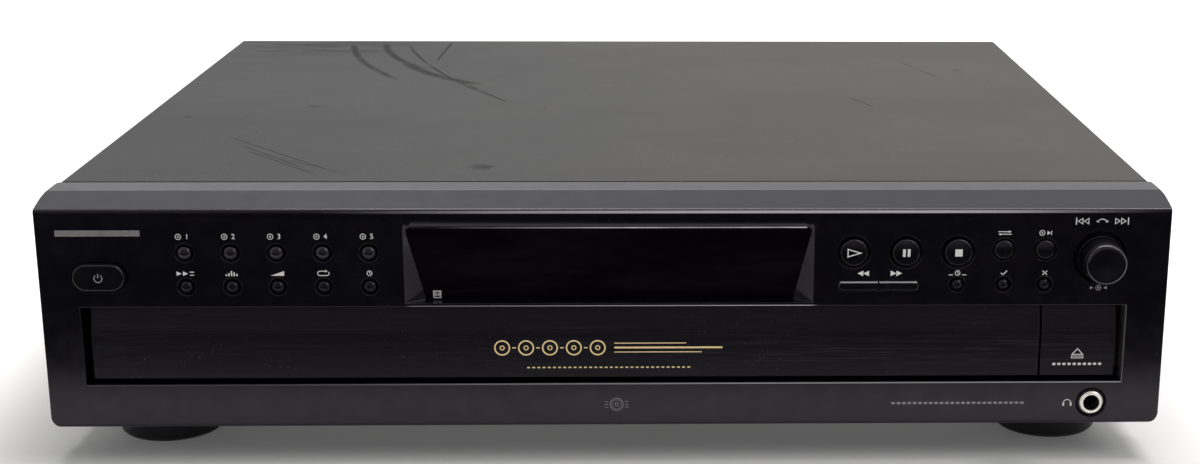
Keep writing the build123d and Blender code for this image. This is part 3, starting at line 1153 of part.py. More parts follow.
def disc_platter():
    outline = [(0, DECK_Z - 6), (1.5, DECK_Z - 6), (1.5, DECK_TOP + 0.6), (6, DECK_TOP + 0.6),
               (6, PLATTER_TOP - 2), (PLATTER_R, PLATTER_TOP - 2), (PLATTER_R, PLATTER_TOP),
               (BOSS_R, PLATTER_TOP), (BOSS_R, PLATTER_TOP + 1.2), (BOSS_R - 1.8, PLATTER_TOP + 2.6),
               (0, PLATTER_TOP + 2.6)]
    return lowered(turned_z(SPINDLE_X, SPINDLE_Y, outline))


def lift_slider():
    """A cam plate whose sloping slot raises the deck's front pin as it slides along X."""
    swing = radians(LIFT_ANGLE)
    low_z = FRONT_PIN_Z - FRONT_PIN_BACK * tan(swing)
    low = (SPINDLE_X, low_z)
    high = (SPINDLE_X - SLIDER_TRAVEL, FRONT_PIN_Z)
    half = 2.6
    slope = atan2(high[1] - low[1], high[0] - low[0])
    aside = (half * sin(slope), -half * cos(slope))
    slot = make_face(Polyline((low[0] + aside[0], low[1] + aside[1]), (high[0] + aside[0], high[1] + aside[1]),
                              (high[0] - aside[0], high[1] - aside[1]), (low[0] - aside[0], low[1] - aside[1]),
                              close=True))
    slot += Pos(*low) * Circle(half)
    slot += Pos(*high) * Circle(half)
    plate = block(high[0] - 7, low[0] + 7, SLIDER_Y, SLIDER_Y + SLIDER_T, PLATE_Z + FIT, FRONT_PIN_Z + half + 1.1)
    return plate - front_prism(slot, SLIDER_Y - 1, SLIDER_Y + SLIDER_T + 1)


# ------------------------------------------------------------------ writing
def solids_of(made):
    pieces = made if isinstance(made, list) else [made]
    found = []
    for piece in pieces:
        found += piece.solids()
    return found


def write(name, made):
    solids = solids_of(made)
    shape = solids[0] if len(solids) == 1 else Compound(children=solids)
    export_step(shape, os.path.join("parts", name + ".step"))


MODEL = {
    "chassis_pan": chassis_pan, "top_cover": top_cover, "back_panel": back_panel, "feet": feet,
    "case_screws": case_screws, "front_panel": front_panel, "display_window": display_window,
    "power_button": power_button, "open_close_button": open_close_button,
    "jog_shaft": jog_shaft, "jog_knob": jog_knob, "phones_jack": phones_jack,
    "control_board": control_board, "front_switches": front_switches, "display_tube": display_tube,
    "main_board": main_board, "power_transformer": power_transformer,
    "output_jacks": output_jacks, "cord_gland": cord_gland,
    "mech_frame": mech_frame, "clamp_bridge": clamp_bridge, "clamp_puck": clamp_puck,
    "loading_motor": loading_motor, "loading_belt": loading_belt, "loading_pulley": loading_pulley,
    "drive_gear": drive_gear, "tray": tray, "tray_door": tray_door, "carousel": carousel,
    "carousel_cap": carousel_cap, "table_motor": table_motor, "table_gear": table_gear,
    "table_belt": table_belt, "base_unit": base_unit, "guide_rods": guide_rods,
    "optical_pickup": optical_pickup, "sled_gear": sled_gear, "unit_motors": unit_motors,
    "disc_platter": disc_platter, "lift_slider": lift_slider,
}

os.makedirs("parts", exist_ok=True)
for node, maker in MODEL.items():
    write(node, maker())
for node, key_x, key_h, key_r in ROUND_KEYS:
    write(node, round_key(key_x, key_h, key_r))
write("rewind_button", seek_key(-1))
write("forward_button", seek_key(1))
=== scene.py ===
from math import atan2, cos, hypot, pi, radians, sin

import bmesh
import bpy
from mathutils import Matrix, Vector


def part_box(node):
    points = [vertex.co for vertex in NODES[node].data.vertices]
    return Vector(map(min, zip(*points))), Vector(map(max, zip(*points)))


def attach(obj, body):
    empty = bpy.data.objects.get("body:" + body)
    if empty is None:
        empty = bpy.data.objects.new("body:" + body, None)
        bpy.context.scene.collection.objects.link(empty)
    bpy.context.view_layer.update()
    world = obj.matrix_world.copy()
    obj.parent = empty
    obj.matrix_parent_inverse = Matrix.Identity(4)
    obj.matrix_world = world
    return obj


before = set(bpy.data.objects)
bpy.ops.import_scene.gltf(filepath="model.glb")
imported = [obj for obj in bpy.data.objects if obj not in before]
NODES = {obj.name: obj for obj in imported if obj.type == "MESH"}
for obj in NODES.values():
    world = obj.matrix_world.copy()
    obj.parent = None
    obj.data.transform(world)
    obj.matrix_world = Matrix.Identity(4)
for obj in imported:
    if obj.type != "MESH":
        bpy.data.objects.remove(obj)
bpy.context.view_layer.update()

# A full width disc changer. Sizes are millimetres unless a name says otherwise,
# +X is to the right seen from the front, +Y to the back and +Z up.
MM = 0.001


def edge(node, corner, axis):
    """One side of a node's box in millimetres: corner 0 is the low side, 1 the high side."""
    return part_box(node)[corner][axis] / MM


PANEL_FOOT = edge("front_panel", 0, 2)
FACE_Y = edge("front_panel", 0, 1)
DOOR_Y = edge("tray_door", 0, 1)
INK = 0.05                                          # thickness of a printed mark
SMALL_KEY_WIDTH = 7.0                               # narrower keys have the small keys' finish
SOCKET_SIDE = 9.0                                   # from the middle of the output jacks to each socket
HOOD_RIDGE = (FACE_Y + 16.5, PANEL_FOOT + 90.4)     # the crease along the panel's hood
DOOR_RIDGE = PANEL_FOOT + 38.0                      # height of the crease along the door
SEEK_TOP = PANEL_FOOT + 58.0                        # upper edge of the rewind and forward keys
SHEEN = (0.97, 0.91, 1.0, 1.0)                      # cool tint of the black plastics' reflections
WARM_SHEEN = (1.0, 0.985, 0.965, 1.0)               # and the warm tint of the cover's


def middle(node, axis):
    return (edge(node, 0, axis) + edge(node, 1, axis)) / 2


# ------------------------------------------------------------------ finishes
class Finish:
    """A procedural finish, put together node by node on Object coordinates."""

    def __init__(self, name, roughness=0.5, specular=0.5, metallic=0.0):
        self.material = bpy.data.materials.new(name)
        self.material.use_nodes = True
        self.tree = self.material.node_tree
        self.tree.nodes.clear()
        self.shader = self.add("ShaderNodeBsdfPrincipled")
        self.shader.inputs["Roughness"].default_value = roughness
        self.shader.inputs["Specular IOR Level"].default_value = specular
        self.shader.inputs["Metallic"].default_value = metallic
        output = self.add("ShaderNodeOutputMaterial")
        self.join(self.shader.outputs["BSDF"], output.inputs["Surface"])
        self.place = self.add("ShaderNodeTexCoord").outputs["Object"]
        split = self.add("ShaderNodeSeparateXYZ")
        self.join(self.place, split.inputs[0])
        self.x, self.y, self.z = split.outputs

    def add(self, kind, **settings):
        node = self.tree.nodes.new(kind)
        for name, value in settings.items():
            setattr(node, name, value)
        return node

    def join(self, source, socket):
        self.tree.links.new(source, socket)

    def feed(self, socket, value):
        if hasattr(value, "links"):
            self.join(value, socket)
        else:
            socket.default_value = value

    def sum(self, operation, first, second=0.0, clamp=False):
        node = self.add("ShaderNodeMath", operation=operation, use_clamp=clamp)
        self.feed(node.inputs[0], first)
        self.feed(node.inputs[1], second)
        return node.outputs[0]

    def stretched(self, x, y, z):
        """The coordinates with one repeat of a pattern every x, y and z millimetres."""
        node = self.add("ShaderNodeVectorMath", operation="MULTIPLY")
        self.join(self.place, node.inputs[0])
        node.inputs[1].default_value = (1 / (x * MM), 1 / (y * MM), 1 / (z * MM))
        return node.outputs[0]

    def noise(self, size, detail=3.0, rough=0.55, warp=0.0):
        """Soft random values whose features are about size across; size may be (x, y, z)."""
        sizes = size if isinstance(size, tuple) else (size, size, size)
        node = self.add("ShaderNodeTexNoise")
        self.join(self.stretched(*sizes), node.inputs["Vector"])
        node.inputs["Scale"].default_value = 1.0
        node.inputs["Detail"].default_value = detail
        node.inputs["Roughness"].default_value = rough
        node.inputs["Distortion"].default_value = warp
        return node.outputs["Fac"]

    def cells(self, size, feature="F1"):
        node = self.add("ShaderNodeTexVoronoi", feature=feature)
        self.join(self.stretched(size, size, size), node.inputs["Vector"])
        node.inputs["Scale"].default_value = 1.0
        return node.outputs[0]

    def fade(self, value, low, high, at_low=0.0, at_high=1.0):
        """Goes smoothly from at_low to at_high as the value goes from low to high."""
        node = self.add("ShaderNodeMapRange", interpolation_type="SMOOTHSTEP")
        self.feed(node.inputs["Value"], value)
        node.inputs["From Min"].default_value = low
        node.inputs["From Max"].default_value = high
        node.inputs["To Min"].default_value = at_low
        node.inputs["To Max"].default_value = at_high
        return node.outputs["Result"]

    def both(self, first, second):
        return self.sum("MULTIPLY", first, second)

    def within(self, value, low, high, soft):
        """1 between low and high, 0 outside, in millimetres."""
        rise = self.fade(value, (low - soft) * MM, (low + soft) * MM)
        fall = self.fade(value, (high - soft) * MM, (high + soft) * MM, 1.0, 0.0)
        return self.both(rise, fall)

    def line(self, value, centre, half, soft=0.1):
        """1 along a line that reaches half a width to each side of its centre, in millimetres."""
        return self.within(value, centre - half, centre + half, soft)

    def bar(self, wide, deep, tall, soft_ends=0.1):
        """1 inside a box on the panel: x, depth behind the face and height above the panel's foot."""
        across = self.within(self.x, *wide, soft_ends)
        along = self.within(self.y, FACE_Y + deep[0], FACE_Y + deep[1], 0.1)
        up = self.within(self.z, PANEL_FOOT + tall[0], PANEL_FOOT + tall[1], 0.1)
        return self.both(self.both(across, along), up)

    def blend(self, factor, first, second):
        node = self.add("ShaderNodeMix", data_type="RGBA")
        self.feed(node.inputs["Factor"], factor)
        for socket, colour in ((node.inputs[6], first), (node.inputs[7], second)):
            self.feed(socket, colour if hasattr(colour, "links") else (*colour, 1.0))
        return node.outputs[2]

    def span(self, first, second):
        """The length of a step of first one way and second square to it."""
        return self.sum("SQRT", self.sum("ADD", self.both(first, first), self.both(second, second)))

    def radius(self, x, y):
        """Distance in plan from an upright line, in metres."""
        return self.span(self.sum("SUBTRACT", self.x, x * MM), self.sum("SUBTRACT", self.y, y * MM))

    def colour(self, value):
        self.feed(self.shader.inputs["Base Color"], value if hasattr(value, "links") else (*value, 1.0))

    def roughness(self, value):
        self.feed(self.shader.inputs["Roughness"], value)

    def relief(self, height, depth, corner=0.0):
        """Raise the surface by height times depth, and round sharp corners a little."""
        bump = self.add("ShaderNodeBump")
        bump.inputs["Distance"].default_value = depth * MM
        bump.inputs["Strength"].default_value = 1.0
        self.feed(bump.inputs["Height"], height)
        if corner:
            self.join(self.corners(corner), bump.inputs["Normal"])
        self.join(bump.outputs["Normal"], self.shader.inputs["Normal"])

    def corners(self, size):
        node = self.add("ShaderNodeBevel", samples=6)
        node.inputs["Radius"].default_value = size * MM
        return node.outputs["Normal"]

    def worn_corners(self, size, amount):
        """A mask of the sharp corners, broken up in patches where they are rubbed. Painted pale on the panel,
        it also stands in for highlights along its edges.
        """
        facing = self.add("ShaderNodeVectorMath", operation="DOT_PRODUCT")
        self.join(self.corners(size), facing.inputs[0])
        self.join(self.add("ShaderNodeNewGeometry").outputs["Normal"], facing.inputs[1])
        bent = self.fade(facing.outputs["Value"], 0.97, 0.8)
        return self.both(bent, self.fade(self.noise(9.0), 0.35, 0.75, amount * 0.3, amount))

    def dust(self, share=0.68, size=0.9):
        """Small pale specks, thicker in some places than in others."""
        specks = self.fade(self.noise(size, 1.0, 0.4), share, share + 0.06)
        return self.both(specks, self.fade(self.noise(35.0), 0.4, 0.65))


def moulding(name, colour, lighter, roughness=0.38, specular=0.25, grain=0.35, depth=0.015, corner=0.35,
             wear_and_highlight=0.25, dusty=0.3, handled=0.1, edges=None):
    """Moulded plastic: a fine grain, faint flow marks, handling, a little dust, pale rubbed corners and any
    painted highlights along edges.
    """
    finish = Finish(name, specular=specular)
    finish.shader.inputs["Specular Tint"].default_value = SHEEN
    flow = finish.fade(finish.noise((90.0, 30.0, 45.0), 2.0), 0.3, 0.7)
    body = finish.blend(flow, colour, lighter)
    pale = tuple(min(1.0, value * 2.2 + 0.05) for value in lighter)
    # Pale rubbed corners; on the panel, set strong, they also paint highlights along its edges.
    body = finish.blend(finish.worn_corners(corner, wear_and_highlight), body, pale)
    if edges:
        # Painted highlights along the edges that the given function picks out.
        body = finish.blend(edges(finish), body, PAINTED_HIGHLIGHT_COLOUR)
    dust_colour = tuple(min(0.6, value + 0.1) for value in lighter)
    finish.colour(finish.blend(finish.both(finish.dust(0.72, 0.7), dusty), body, dust_colour))
    touched = finish.fade(finish.noise(22.0, 4.0, 0.6, 0.6), 0.5, 0.72, 0.0, handled)
    even = finish.fade(finish.noise(6.0), 0.2, 0.8, roughness - 0.04, roughness + 0.04)
    finish.roughness(finish.sum("ADD", touched, even))
    finish.relief(finish.noise(grain, 2.0, 0.5), depth, corner)
    return finish.material


# Colour of the painted highlights along edges of the panel, the jog knob and the seek keys.
PAINTED_HIGHLIGHT_COLOUR = (0.46, 0.45, 0.47)
# Painted highlights along edges of the panel, drawn as narrow lighter bands. Each has its
# x range, its depth behind the face, its height above the panel's foot, how bright it is
# and how softly it ends.
PAINTED_EDGE_HIGHLIGHTS = [
    ((-75.0, 170.0), (-0.3, 0.5), (85.05, 86.05), 1.0, 45.0),   # front edge of the hood
    ((-76.0, 79.0), (-0.3, 0.3), (48.4, 48.85), 0.9, 2.0),      # bar between the window and the slot
    ((-200.4, 199.7), (-0.3, 0.5), (16.9, 17.4), 0.7, 0.2),     # lower edge of the slot
    ((199.5, 200.0), (-0.3, 0.4), (17.0, 48.5), 0.2, 0.1),      # right edge of the slot
]
# The slot's right return wall, which gets a painted light.
SLOT_WALL = ((199.2, 199.9), (0.5, 8.2), (17.4, 48.4))      # right return wall of the slot
# Strengths of the painted highlights: hood crease, slot wall, knob rings and seek key edges.
RIDGE_SHINE = 0.3
SLOT_WALL_SHINE = 0.12
KNOB_RING_SHINE = 0.16
SEEK_SHINE = 0.85
# The painted highlights along the panel's edges are dimmest at its left and brightest towards its right.
LEAST_LIT = (-160.0, 0.15)      # x up to which the panel's edges are dimmest, and how dim
FULLY_LIT = (60.0, 1.0)         # x from which they are brightest


def panel_lines(finish):
    """Painted highlights along the panel's edges, brighter towards its right, and along the crease of its
    hood.
    """
    crease = finish.both(finish.line(finish.y, HOOD_RIDGE[0], 0.22),
                         finish.line(finish.z, HOOD_RIDGE[1], 0.3))
    shine = finish.both(crease, RIDGE_SHINE)
    lit = finish.fade(finish.x, LEAST_LIT[0] * MM, FULLY_LIT[0] * MM, LEAST_LIT[1], FULLY_LIT[1])
    for wide, deep, tall, amount, soft_ends in PAINTED_EDGE_HIGHLIGHTS:
        band = finish.both(finish.bar(wide, deep, tall, soft_ends), amount)
        shine = finish.sum("MAXIMUM", shine, finish.both(band, lit))
    return finish.sum("MAXIMUM", shine, finish.both(finish.bar(*SLOT_WALL), SLOT_WALL_SHINE))


def knob_lines(finish):
    """Painted highlights: fine bright rings round the flank of the jog knob."""
    front_ring = finish.line(finish.y, edge("jog_knob", 0, 1) + 2.55, 0.15)
    back_ring = finish.line(finish.y, edge("jog_knob", 1, 1) - 2.4, 0.2)
    return finish.both(finish.sum("MAXIMUM", front_ring, back_ring), KNOB_RING_SHINE)


def seek_lines(finish):
    """Painted highlights along the upper edges of the rewind and forward keys."""
    front = edge("rewind_button", 0, 1)
    band = finish.both(finish.within(finish.z, SEEK_TOP - 0.3, SEEK_TOP + 0.2, 0.08),
                       finish.within(finish.y, front - 0.3, front + 0.9, 0.1))
    return finish.both(band, SEEK_SHINE)


def arc_mark(finish, centre, radius, width, start, end, soft=0.5):
    """A mask along an arc on the cover, from the start angle to the end angle in degrees."""
    away = finish.sum("ABSOLUTE", finish.sum("SUBTRACT", finish.radius(*centre), radius * MM))
    line = finish.fade(away, (width / 2 - soft / 2) * MM, (width / 2 + soft / 2) * MM, 1.0, 0.0)
    across = finish.sum("SUBTRACT", finish.x, centre[0] * MM)
    along = finish.sum("SUBTRACT", finish.y, centre[1] * MM)
    angle = finish.sum("ARCTAN2", along, across)
    ends = finish.both(finish.fade(angle, radians(start), radians(start + 4)),
                       finish.fade(angle, radians(end - 6), radians(end), 1.0, 0.0))
    return finish.both(line, ends)


def line_mark(finish, start, end, width, soft=0.4):
    """A mask along a straight scratch on the cover between two (x, y) points."""
    length = hypot(end[0] - start[0], end[1] - start[1])
    ux = (end[0] - start[0]) / length
    uy = (end[1] - start[1]) / length
    px = finish.sum("SUBTRACT", finish.x, start[0] * MM)
    py = finish.sum("SUBTRACT", finish.y, start[1] * MM)
    along = finish.sum("ADD", finish.both(px, ux), finish.both(py, uy))
    across = finish.sum("ABSOLUTE", finish.sum("SUBTRACT", finish.both(px, uy), finish.both(py, ux)))
    line = finish.fade(across, (width - soft) / 2 * MM, (width + soft) / 2 * MM, 1.0, 0.0)
    return finish.both(line, finish.within(along, 0.0, length, length / 8))


def arc_through(start, between, end):
    """Centre, radius and the two end angles of the arc through three points."""
    (ax, ay), (bx, by), (cx, cy) = start, between, end
    double = 2 * (ax * (by - cy) + bx * (cy - ay) + cx * (ay - by))
    a2, b2, c2 = ax * ax + ay * ay, bx * bx + by * by, cx * cx + cy * cy
    x = (a2 * (by - cy) + b2 * (cy - ay) + c2 * (ay - by)) / double
    y = (a2 * (cx - bx) + b2 * (ax - cx) + c2 * (bx - ax)) / double
    angles = sorted(atan2(py - y, px - x) * 180 / pi for px, py in (start, end))
    return (x, y), hypot(ax - x, ay - y), angles[0], angles[1]


# The scuffs that years of use have left on the cover, as points on its top.
RUBBED_ARCS = [
    ((-148.9, 188.1), (-130.5, 110.0), (-106.0, 60.5), 3.2),
    ((-119.2, 188.3), (-91.2, 89.7), (-49.6, 4.3), 1.6),
    ((-112.0, 120.0), (-94.0, 82.0), (-66.0, 52.0), 5.0),
    ((-131.0, 188.0), (-118.0, 132.0), (-96.0, 92.0), 3.5),
]
SCRATCHES = [
    ((-94.3, 184.9), (-96.3, 127.1), 1.2),
    ((-72.0, 50.0), (-52.0, 8.0), 1.1),
    ((-162.0, -78.0), (-110.0, -142.0), 0.8),
    ((-156.0, -92.0), (-124.0, -134.0), 0.7),
    ((-150.0, -105.0), (-117.0, -146.0), 0.8),
    ((-136.0, -118.0), (-104.0, -145.0), 0.6),
    ((150.0, 120.0), (163.0, 76.0), 0.7),
    ((112.0, 20.0), (121.0, -4.0), 0.6),
]
RUBBED_SPOTS = [
    ((-52.1, -134.0), 6.0, 0.8),
    ((-192.6, -29.9), 2.4, 0.5),
    ((-139.0, -4.0), 5.0, 0.35),
    ((176.0, 96.0), 3.0, 0.35),
]
# The worn patch at the cover's left rear: its y and x ranges, each with how softly it ends.
WORN_Y = (150.0, 196.0, 22.0)
WORN_X = (-215.0, -120.0, 40.0)


def cover_paint():
    """Black textured paint on steel sheet, scuffed, dusty and rubbed thin on its bends."""
    finish = Finish("cover_paint", specular=0.21)
    finish.shader.inputs["Specular Tint"].default_value = WARM_SHEEN
    # Painted light: the cover's colour goes from a darker, cooler black at the left to a lighter, warmer one
    # towards the right.
    cloud = finish.fade(finish.noise(150.0, 3.0), 0.3, 0.7)
    across = finish.fade(finish.sum("ADD", finish.x, finish.both(cloud, 60.0 * MM)), -200.0 * MM, 240.0 * MM)
    body = finish.blend(across, (0.006, 0.005, 0.0062), (0.027, 0.025, 0.0225))
    grain = finish.noise(0.7, 2.0, 0.6)
    body = finish.blend(finish.fade(grain, 0.35, 0.75, 0.0, 0.35), body, (0.034, 0.032, 0.031))
    marks = 0.0
    broken = finish.fade(finish.noise((10.0, 34.0, 20.0), 3.0, 0.6), 0.25, 0.5, 0.25, 1.0)
    for start, between, end, width in RUBBED_ARCS:
        centre, radius, low, high = arc_through(start, between, end)
        marks = finish.sum("MAXIMUM", marks, arc_mark(finish, centre, radius, width, low, high, width * 0.8))
    for start, end, width in SCRATCHES:
        marks = finish.sum("MAXIMUM", marks, line_mark(finish, start, end, width))
    for (x, y), size, amount in RUBBED_SPOTS:
        wobble = finish.sum("ADD", finish.radius(x, y), finish.both(finish.noise(5.0), size * 0.5 * MM))
        spot = finish.fade(wobble, size * 0.6 * MM, size * 1.4 * MM, amount, 0.0)
        marks = finish.sum("MAXIMUM", marks, spot)
    marks = finish.both(marks, broken)
    worn_rear = finish.both(finish.within(finish.y, *WORN_Y), finish.within(finish.x, *WORN_X))
    patchy = finish.fade(finish.noise((45.0, 14.0, 30.0), 4.0, 0.7), 0.42, 0.62, 0.0, 0.5)
    marks = finish.sum("MAXIMUM", marks, finish.both(worn_rear, patchy))
    body = finish.blend(finish.both(marks, 0.9), body, (0.004, 0.004, 0.004))
    body = finish.blend(finish.both(finish.dust(0.66, 1.1), 0.3), body, (0.2, 0.19, 0.18))
    body = finish.blend(finish.worn_corners(0.5, 0.3), body, (0.09, 0.088, 0.085))
    finish.colour(body)
    wiped = finish.fade(finish.noise((120.0, 70.0, 40.0), 3.0, 0.5, 0.4), 0.3, 0.75, 0.47, 0.505)
    finish.roughness(finish.sum("ADD", wiped, finish.both(marks, 0.25), clamp=True))
    finish.relief(grain, 0.03, 0.5)
    return finish.material


def brushed_door():
    """Satin black plastic, finely brushed from side to side, with the brushing's sheen painted as lighter
    strokes: in patches, and most below the upper band and towards the right.
    """
    finish = Finish("door_plastic", specular=0.26)
    finish.shader.inputs["Specular Tint"].default_value = SHEEN
    strokes = finish.noise((34.0, 40.0, 0.4), 3.0, 0.75)
    shown = finish.fade(finish.noise((70.0, 60.0, 26.0), 2.0), 0.35, 0.65)
    # Painted sheen: the brushing shows lighter below the upper band, growing towards the right.
    below_band = finish.within(finish.z, PANEL_FOOT + 24.0, DOOR_RIDGE - 2.5, 3.0)
    painted_sheen = finish.both(below_band, finish.fade(finish.x, -90.0 * MM, 0.0, 0.35, 1.0))
    shown = finish.sum("MAXIMUM", finish.both(shown, 0.5), painted_sheen)
    # The lighter strokes are the brushing's grain with its sheen painted in.
    bright = finish.both(finish.fade(strokes, 0.48, 0.7), shown)
    body = finish.blend(bright, (0.0022, 0.0017, 0.0038), (0.018, 0.0172, 0.0225))
    body = finish.blend(finish.worn_corners(0.3, 0.6), body, (0.05, 0.05, 0.052))
    body = finish.blend(finish.both(finish.dust(0.7, 0.8), 0.3), body, (0.12, 0.12, 0.12))
    finish.colour(body)
    finish.roughness(finish.fade(strokes, 0.3, 0.7, 0.28, 0.33))
    groove = finish.within(finish.z, DOOR_RIDGE - 0.35, DOOR_RIDGE + 0.35, 0.3)
    finish.relief(finish.sum("SUBTRACT", strokes, finish.both(groove, 12.0)), 0.012, 0.3)
    return finish.material


def smoked_glass():
    """A dark smoked window, polished, with a trace of wiping."""
    finish = Finish("smoked_window", specular=0.05)
    haze = finish.fade(finish.noise((60.0, 30.0, 12.0), 3.0, 0.6, 0.5), 0.4, 0.75)
    finish.colour(finish.blend(haze, (0.003, 0.0015, 0.003), (0.006, 0.004, 0.007)))
    finish.roughness(finish.fade(haze, 0.0, 1.0, 0.04, 0.09))
    finish.shader.inputs["Transmission Weight"].default_value = 0.05
    finish.shader.inputs["IOR"].default_value = 1.49
    finish.relief(finish.noise(30.0, 1.0), 0.01, 0.25)
    return finish.material


def turned_metal(name, colour, roughness, axis):
    """Plated metal with fine turning marks round its axis."""
    finish = Finish(name, metallic=1.0)
    fine = {"x": (0.12, 9.0, 9.0), "y": (9.0, 0.12, 9.0), "z": (9.0, 9.0, 0.12)}[axis]
    rings = finish.noise(fine, 2.0, 0.6)
    tarnish = finish.fade(finish.noise(4.0, 3.0), 0.35, 0.7)
    darker = tuple(value * 0.72 for value in colour)
    finish.colour(finish.blend(finish.both(tarnish, 0.6), colour, darker))
    even = finish.fade(rings, 0.3, 0.7, roughness, roughness + 0.1)
    finish.roughness(finish.sum("ADD", finish.both(tarnish, 0.12), even))
    finish.relief(rings, 0.006, 0.2)
    return finish.material


def jack_metal():
    """Nickel rings on black sockets, with white and red inserts in the two output sockets."""
    finish = Finish("jack_metal", roughness=0.3, specular=0.5)
    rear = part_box("output_jacks")[1][1] / MM
    deep = finish.fade(finish.y, (rear - 9.2) * MM, (rear - 9.0) * MM)
    centre = middle("output_jacks", 0)
    up = finish.sum("SUBTRACT", finish.z, middle("output_jacks", 2) * MM)
    sockets = []
    for x in (centre - SOCKET_SIDE, centre + SOCKET_SIDE):
        sockets.append(finish.span(finish.sum("SUBTRACT", finish.x, x * MM), up))
    near = finish.sum("MINIMUM", *sockets)
    insert = finish.both(deep, finish.fade(near, 3.3 * MM, 3.36 * MM, 1.0, 0.0))
    sleeve = finish.both(deep, finish.fade(near, 3.36 * MM, 3.38 * MM))
    front = finish.fade(finish.y, (FACE_Y + 5.0) * MM, (FACE_Y + 5.3) * MM, 1.0, 0.0)
    metal = finish.sum("MAXIMUM", sleeve, front)
    mottled = finish.fade(finish.noise(3.0, 3.0), 0.3, 0.7)
    plated = finish.blend(mottled, (0.66, 0.63, 0.56), (0.78, 0.76, 0.7))
    side = finish.fade(finish.x, (centre - 0.5) * MM, (centre + 0.5) * MM)
    coloured = finish.blend(side, (0.42, 0.02, 0.015), (0.62, 0.61, 0.57))
    body = finish.blend(metal, (0.012, 0.012, 0.013), plated)
    body = finish.blend(insert, body, coloured)
    finish.colour(body)
    finish.feed(finish.shader.inputs["Metallic"], metal)
    finish.roughness(finish.fade(finish.noise(2.0), 0.3, 0.7, 0.2, 0.34))
    finish.relief(finish.noise((6.0, 0.2, 6.0), 2.0), 0.008, 0.2)
    return finish.material


def zinc_sheet():
    """Zinc plated sheet with a soft crystal pattern and rolling marks."""
    finish = Finish("zinc_sheet", metallic=1.0)
    crystal = finish.cells(7.0)
    rolled = finish.noise((60.0, 0.5, 8.0), 3.0)
    body = finish.blend(finish.fade(crystal, 0.1, 0.8), (0.5, 0.51, 0.52), (0.62, 0.63, 0.62))
    finish.colour(finish.blend(finish.fade(finish.noise(40.0), 0.5, 0.8, 0.0, 0.5), body, (0.4, 0.38, 0.34)))
    finish.roughness(finish.fade(crystal, 0.0, 0.8, 0.3, 0.45))
    finish.relief(rolled, 0.01, 0.2)
    return finish.material


def circuit_board():
    """Green solder mask over copper tracks, with tinned pads."""
    finish = Finish("circuit_board", specular=0.4)
    tracks = finish.fade(finish.cells(4.5, "DISTANCE_TO_EDGE"), 0.06, 0.1, 1.0, 0.0)
    pads = finish.fade(finish.cells(3.2), 0.2, 0.24, 1.0, 0.0)
    body = finish.blend(tracks, (0.006, 0.09, 0.03), (0.012, 0.15, 0.05))
    finish.colour(finish.blend(pads, body, (0.5, 0.5, 0.47)))
    finish.roughness(finish.fade(finish.noise(8.0), 0.3, 0.7, 0.28, 0.4))
    finish.relief(finish.sum("MAXIMUM", tracks, pads), 0.03)
    return finish.material


def laminated_core():
    """Varnished steel laminations round a taped coil."""
    finish = Finish("core_steel", specular=0.4, metallic=0.4)
    sheets = finish.sum("SINE", finish.both(finish.y, 2 * pi / (0.7 * MM)))
    rust = finish.fade(finish.noise(9.0, 4.0), 0.5, 0.75)
    finish.colour(finish.blend(rust, (0.06, 0.06, 0.065), (0.14, 0.08, 0.045)))
    finish.roughness(finish.fade(rust, 0.0, 1.0, 0.4, 0.65))
    finish.relief(sheets, 0.03, 0.3)
    return finish.material


def natural_nylon():
    """Milky unfilled plastic of the small gears and the slider, with a film of grease."""
    finish = Finish("gear_plastic", specular=0.4)
    cloudy = finish.fade(finish.noise(6.0, 3.0), 0.3, 0.7)
    body = finish.blend(cloudy, (0.72, 0.71, 0.66), (0.8, 0.79, 0.75))
    grease = finish.fade(finish.noise(4.0, 3.0, 0.6, 0.5), 0.55, 0.7)
    finish.colour(finish.blend(finish.both(grease, 0.3), body, (0.5, 0.47, 0.38)))
    finish.roughness(finish.fade(grease, 0.0, 1.0, 0.42, 0.15))
    finish.shader.inputs["Subsurface Weight"].default_value = 0.15
    finish.shader.inputs["Subsurface Radius"].default_value = (0.002, 0.002, 0.0016)
    finish.relief(finish.noise(0.5), 0.01, 0.2)
    return finish.material


def rubber(name):
    """Matt black rubber, a little bloomed and dusty."""
    finish = Finish(name, specular=0.25)
    bloom = finish.fade(finish.noise(8.0, 4.0), 0.4, 0.75)
    body = finish.blend(bloom, (0.012, 0.012, 0.012), (0.032, 0.031, 0.03))
    finish.colour(finish.blend(finish.both(finish.dust(0.62), 0.5), body, (0.12, 0.12, 0.11)))
    finish.roughness(finish.fade(bloom, 0.0, 1.0, 0.62, 0.82))
    finish.relief(finish.noise(0.4), 0.03, 0.3)
    return finish.material


def cast_pickup():
    """Die cast body of the pickup with its blue coated lens."""
    finish = Finish("pickup_metal", metallic=0.9)
    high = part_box("optical_pickup")[1]
    lens_y = 121.5
    cast = finish.noise(1.2, 3.0)
    body = finish.blend(finish.fade(cast, 0.3, 0.7), (0.4, 0.4, 0.4), (0.52, 0.52, 0.53))
    away = finish.radius(middle("optical_pickup", 0), lens_y)
    lens = finish.both(finish.fade(away, 2.4 * MM, 2.6 * MM, 1.0, 0.0),
                       finish.fade(finish.z, high[2] - 1.6 * MM, high[2] - 1.2 * MM))
    finish.colour(finish.blend(lens, body, (0.05, 0.1, 0.32)))
    finish.roughness(finish.fade(lens, 0.0, 1.0, 0.48, 0.08))
    finish.relief(cast, 0.04, 0.3)
    return finish.material


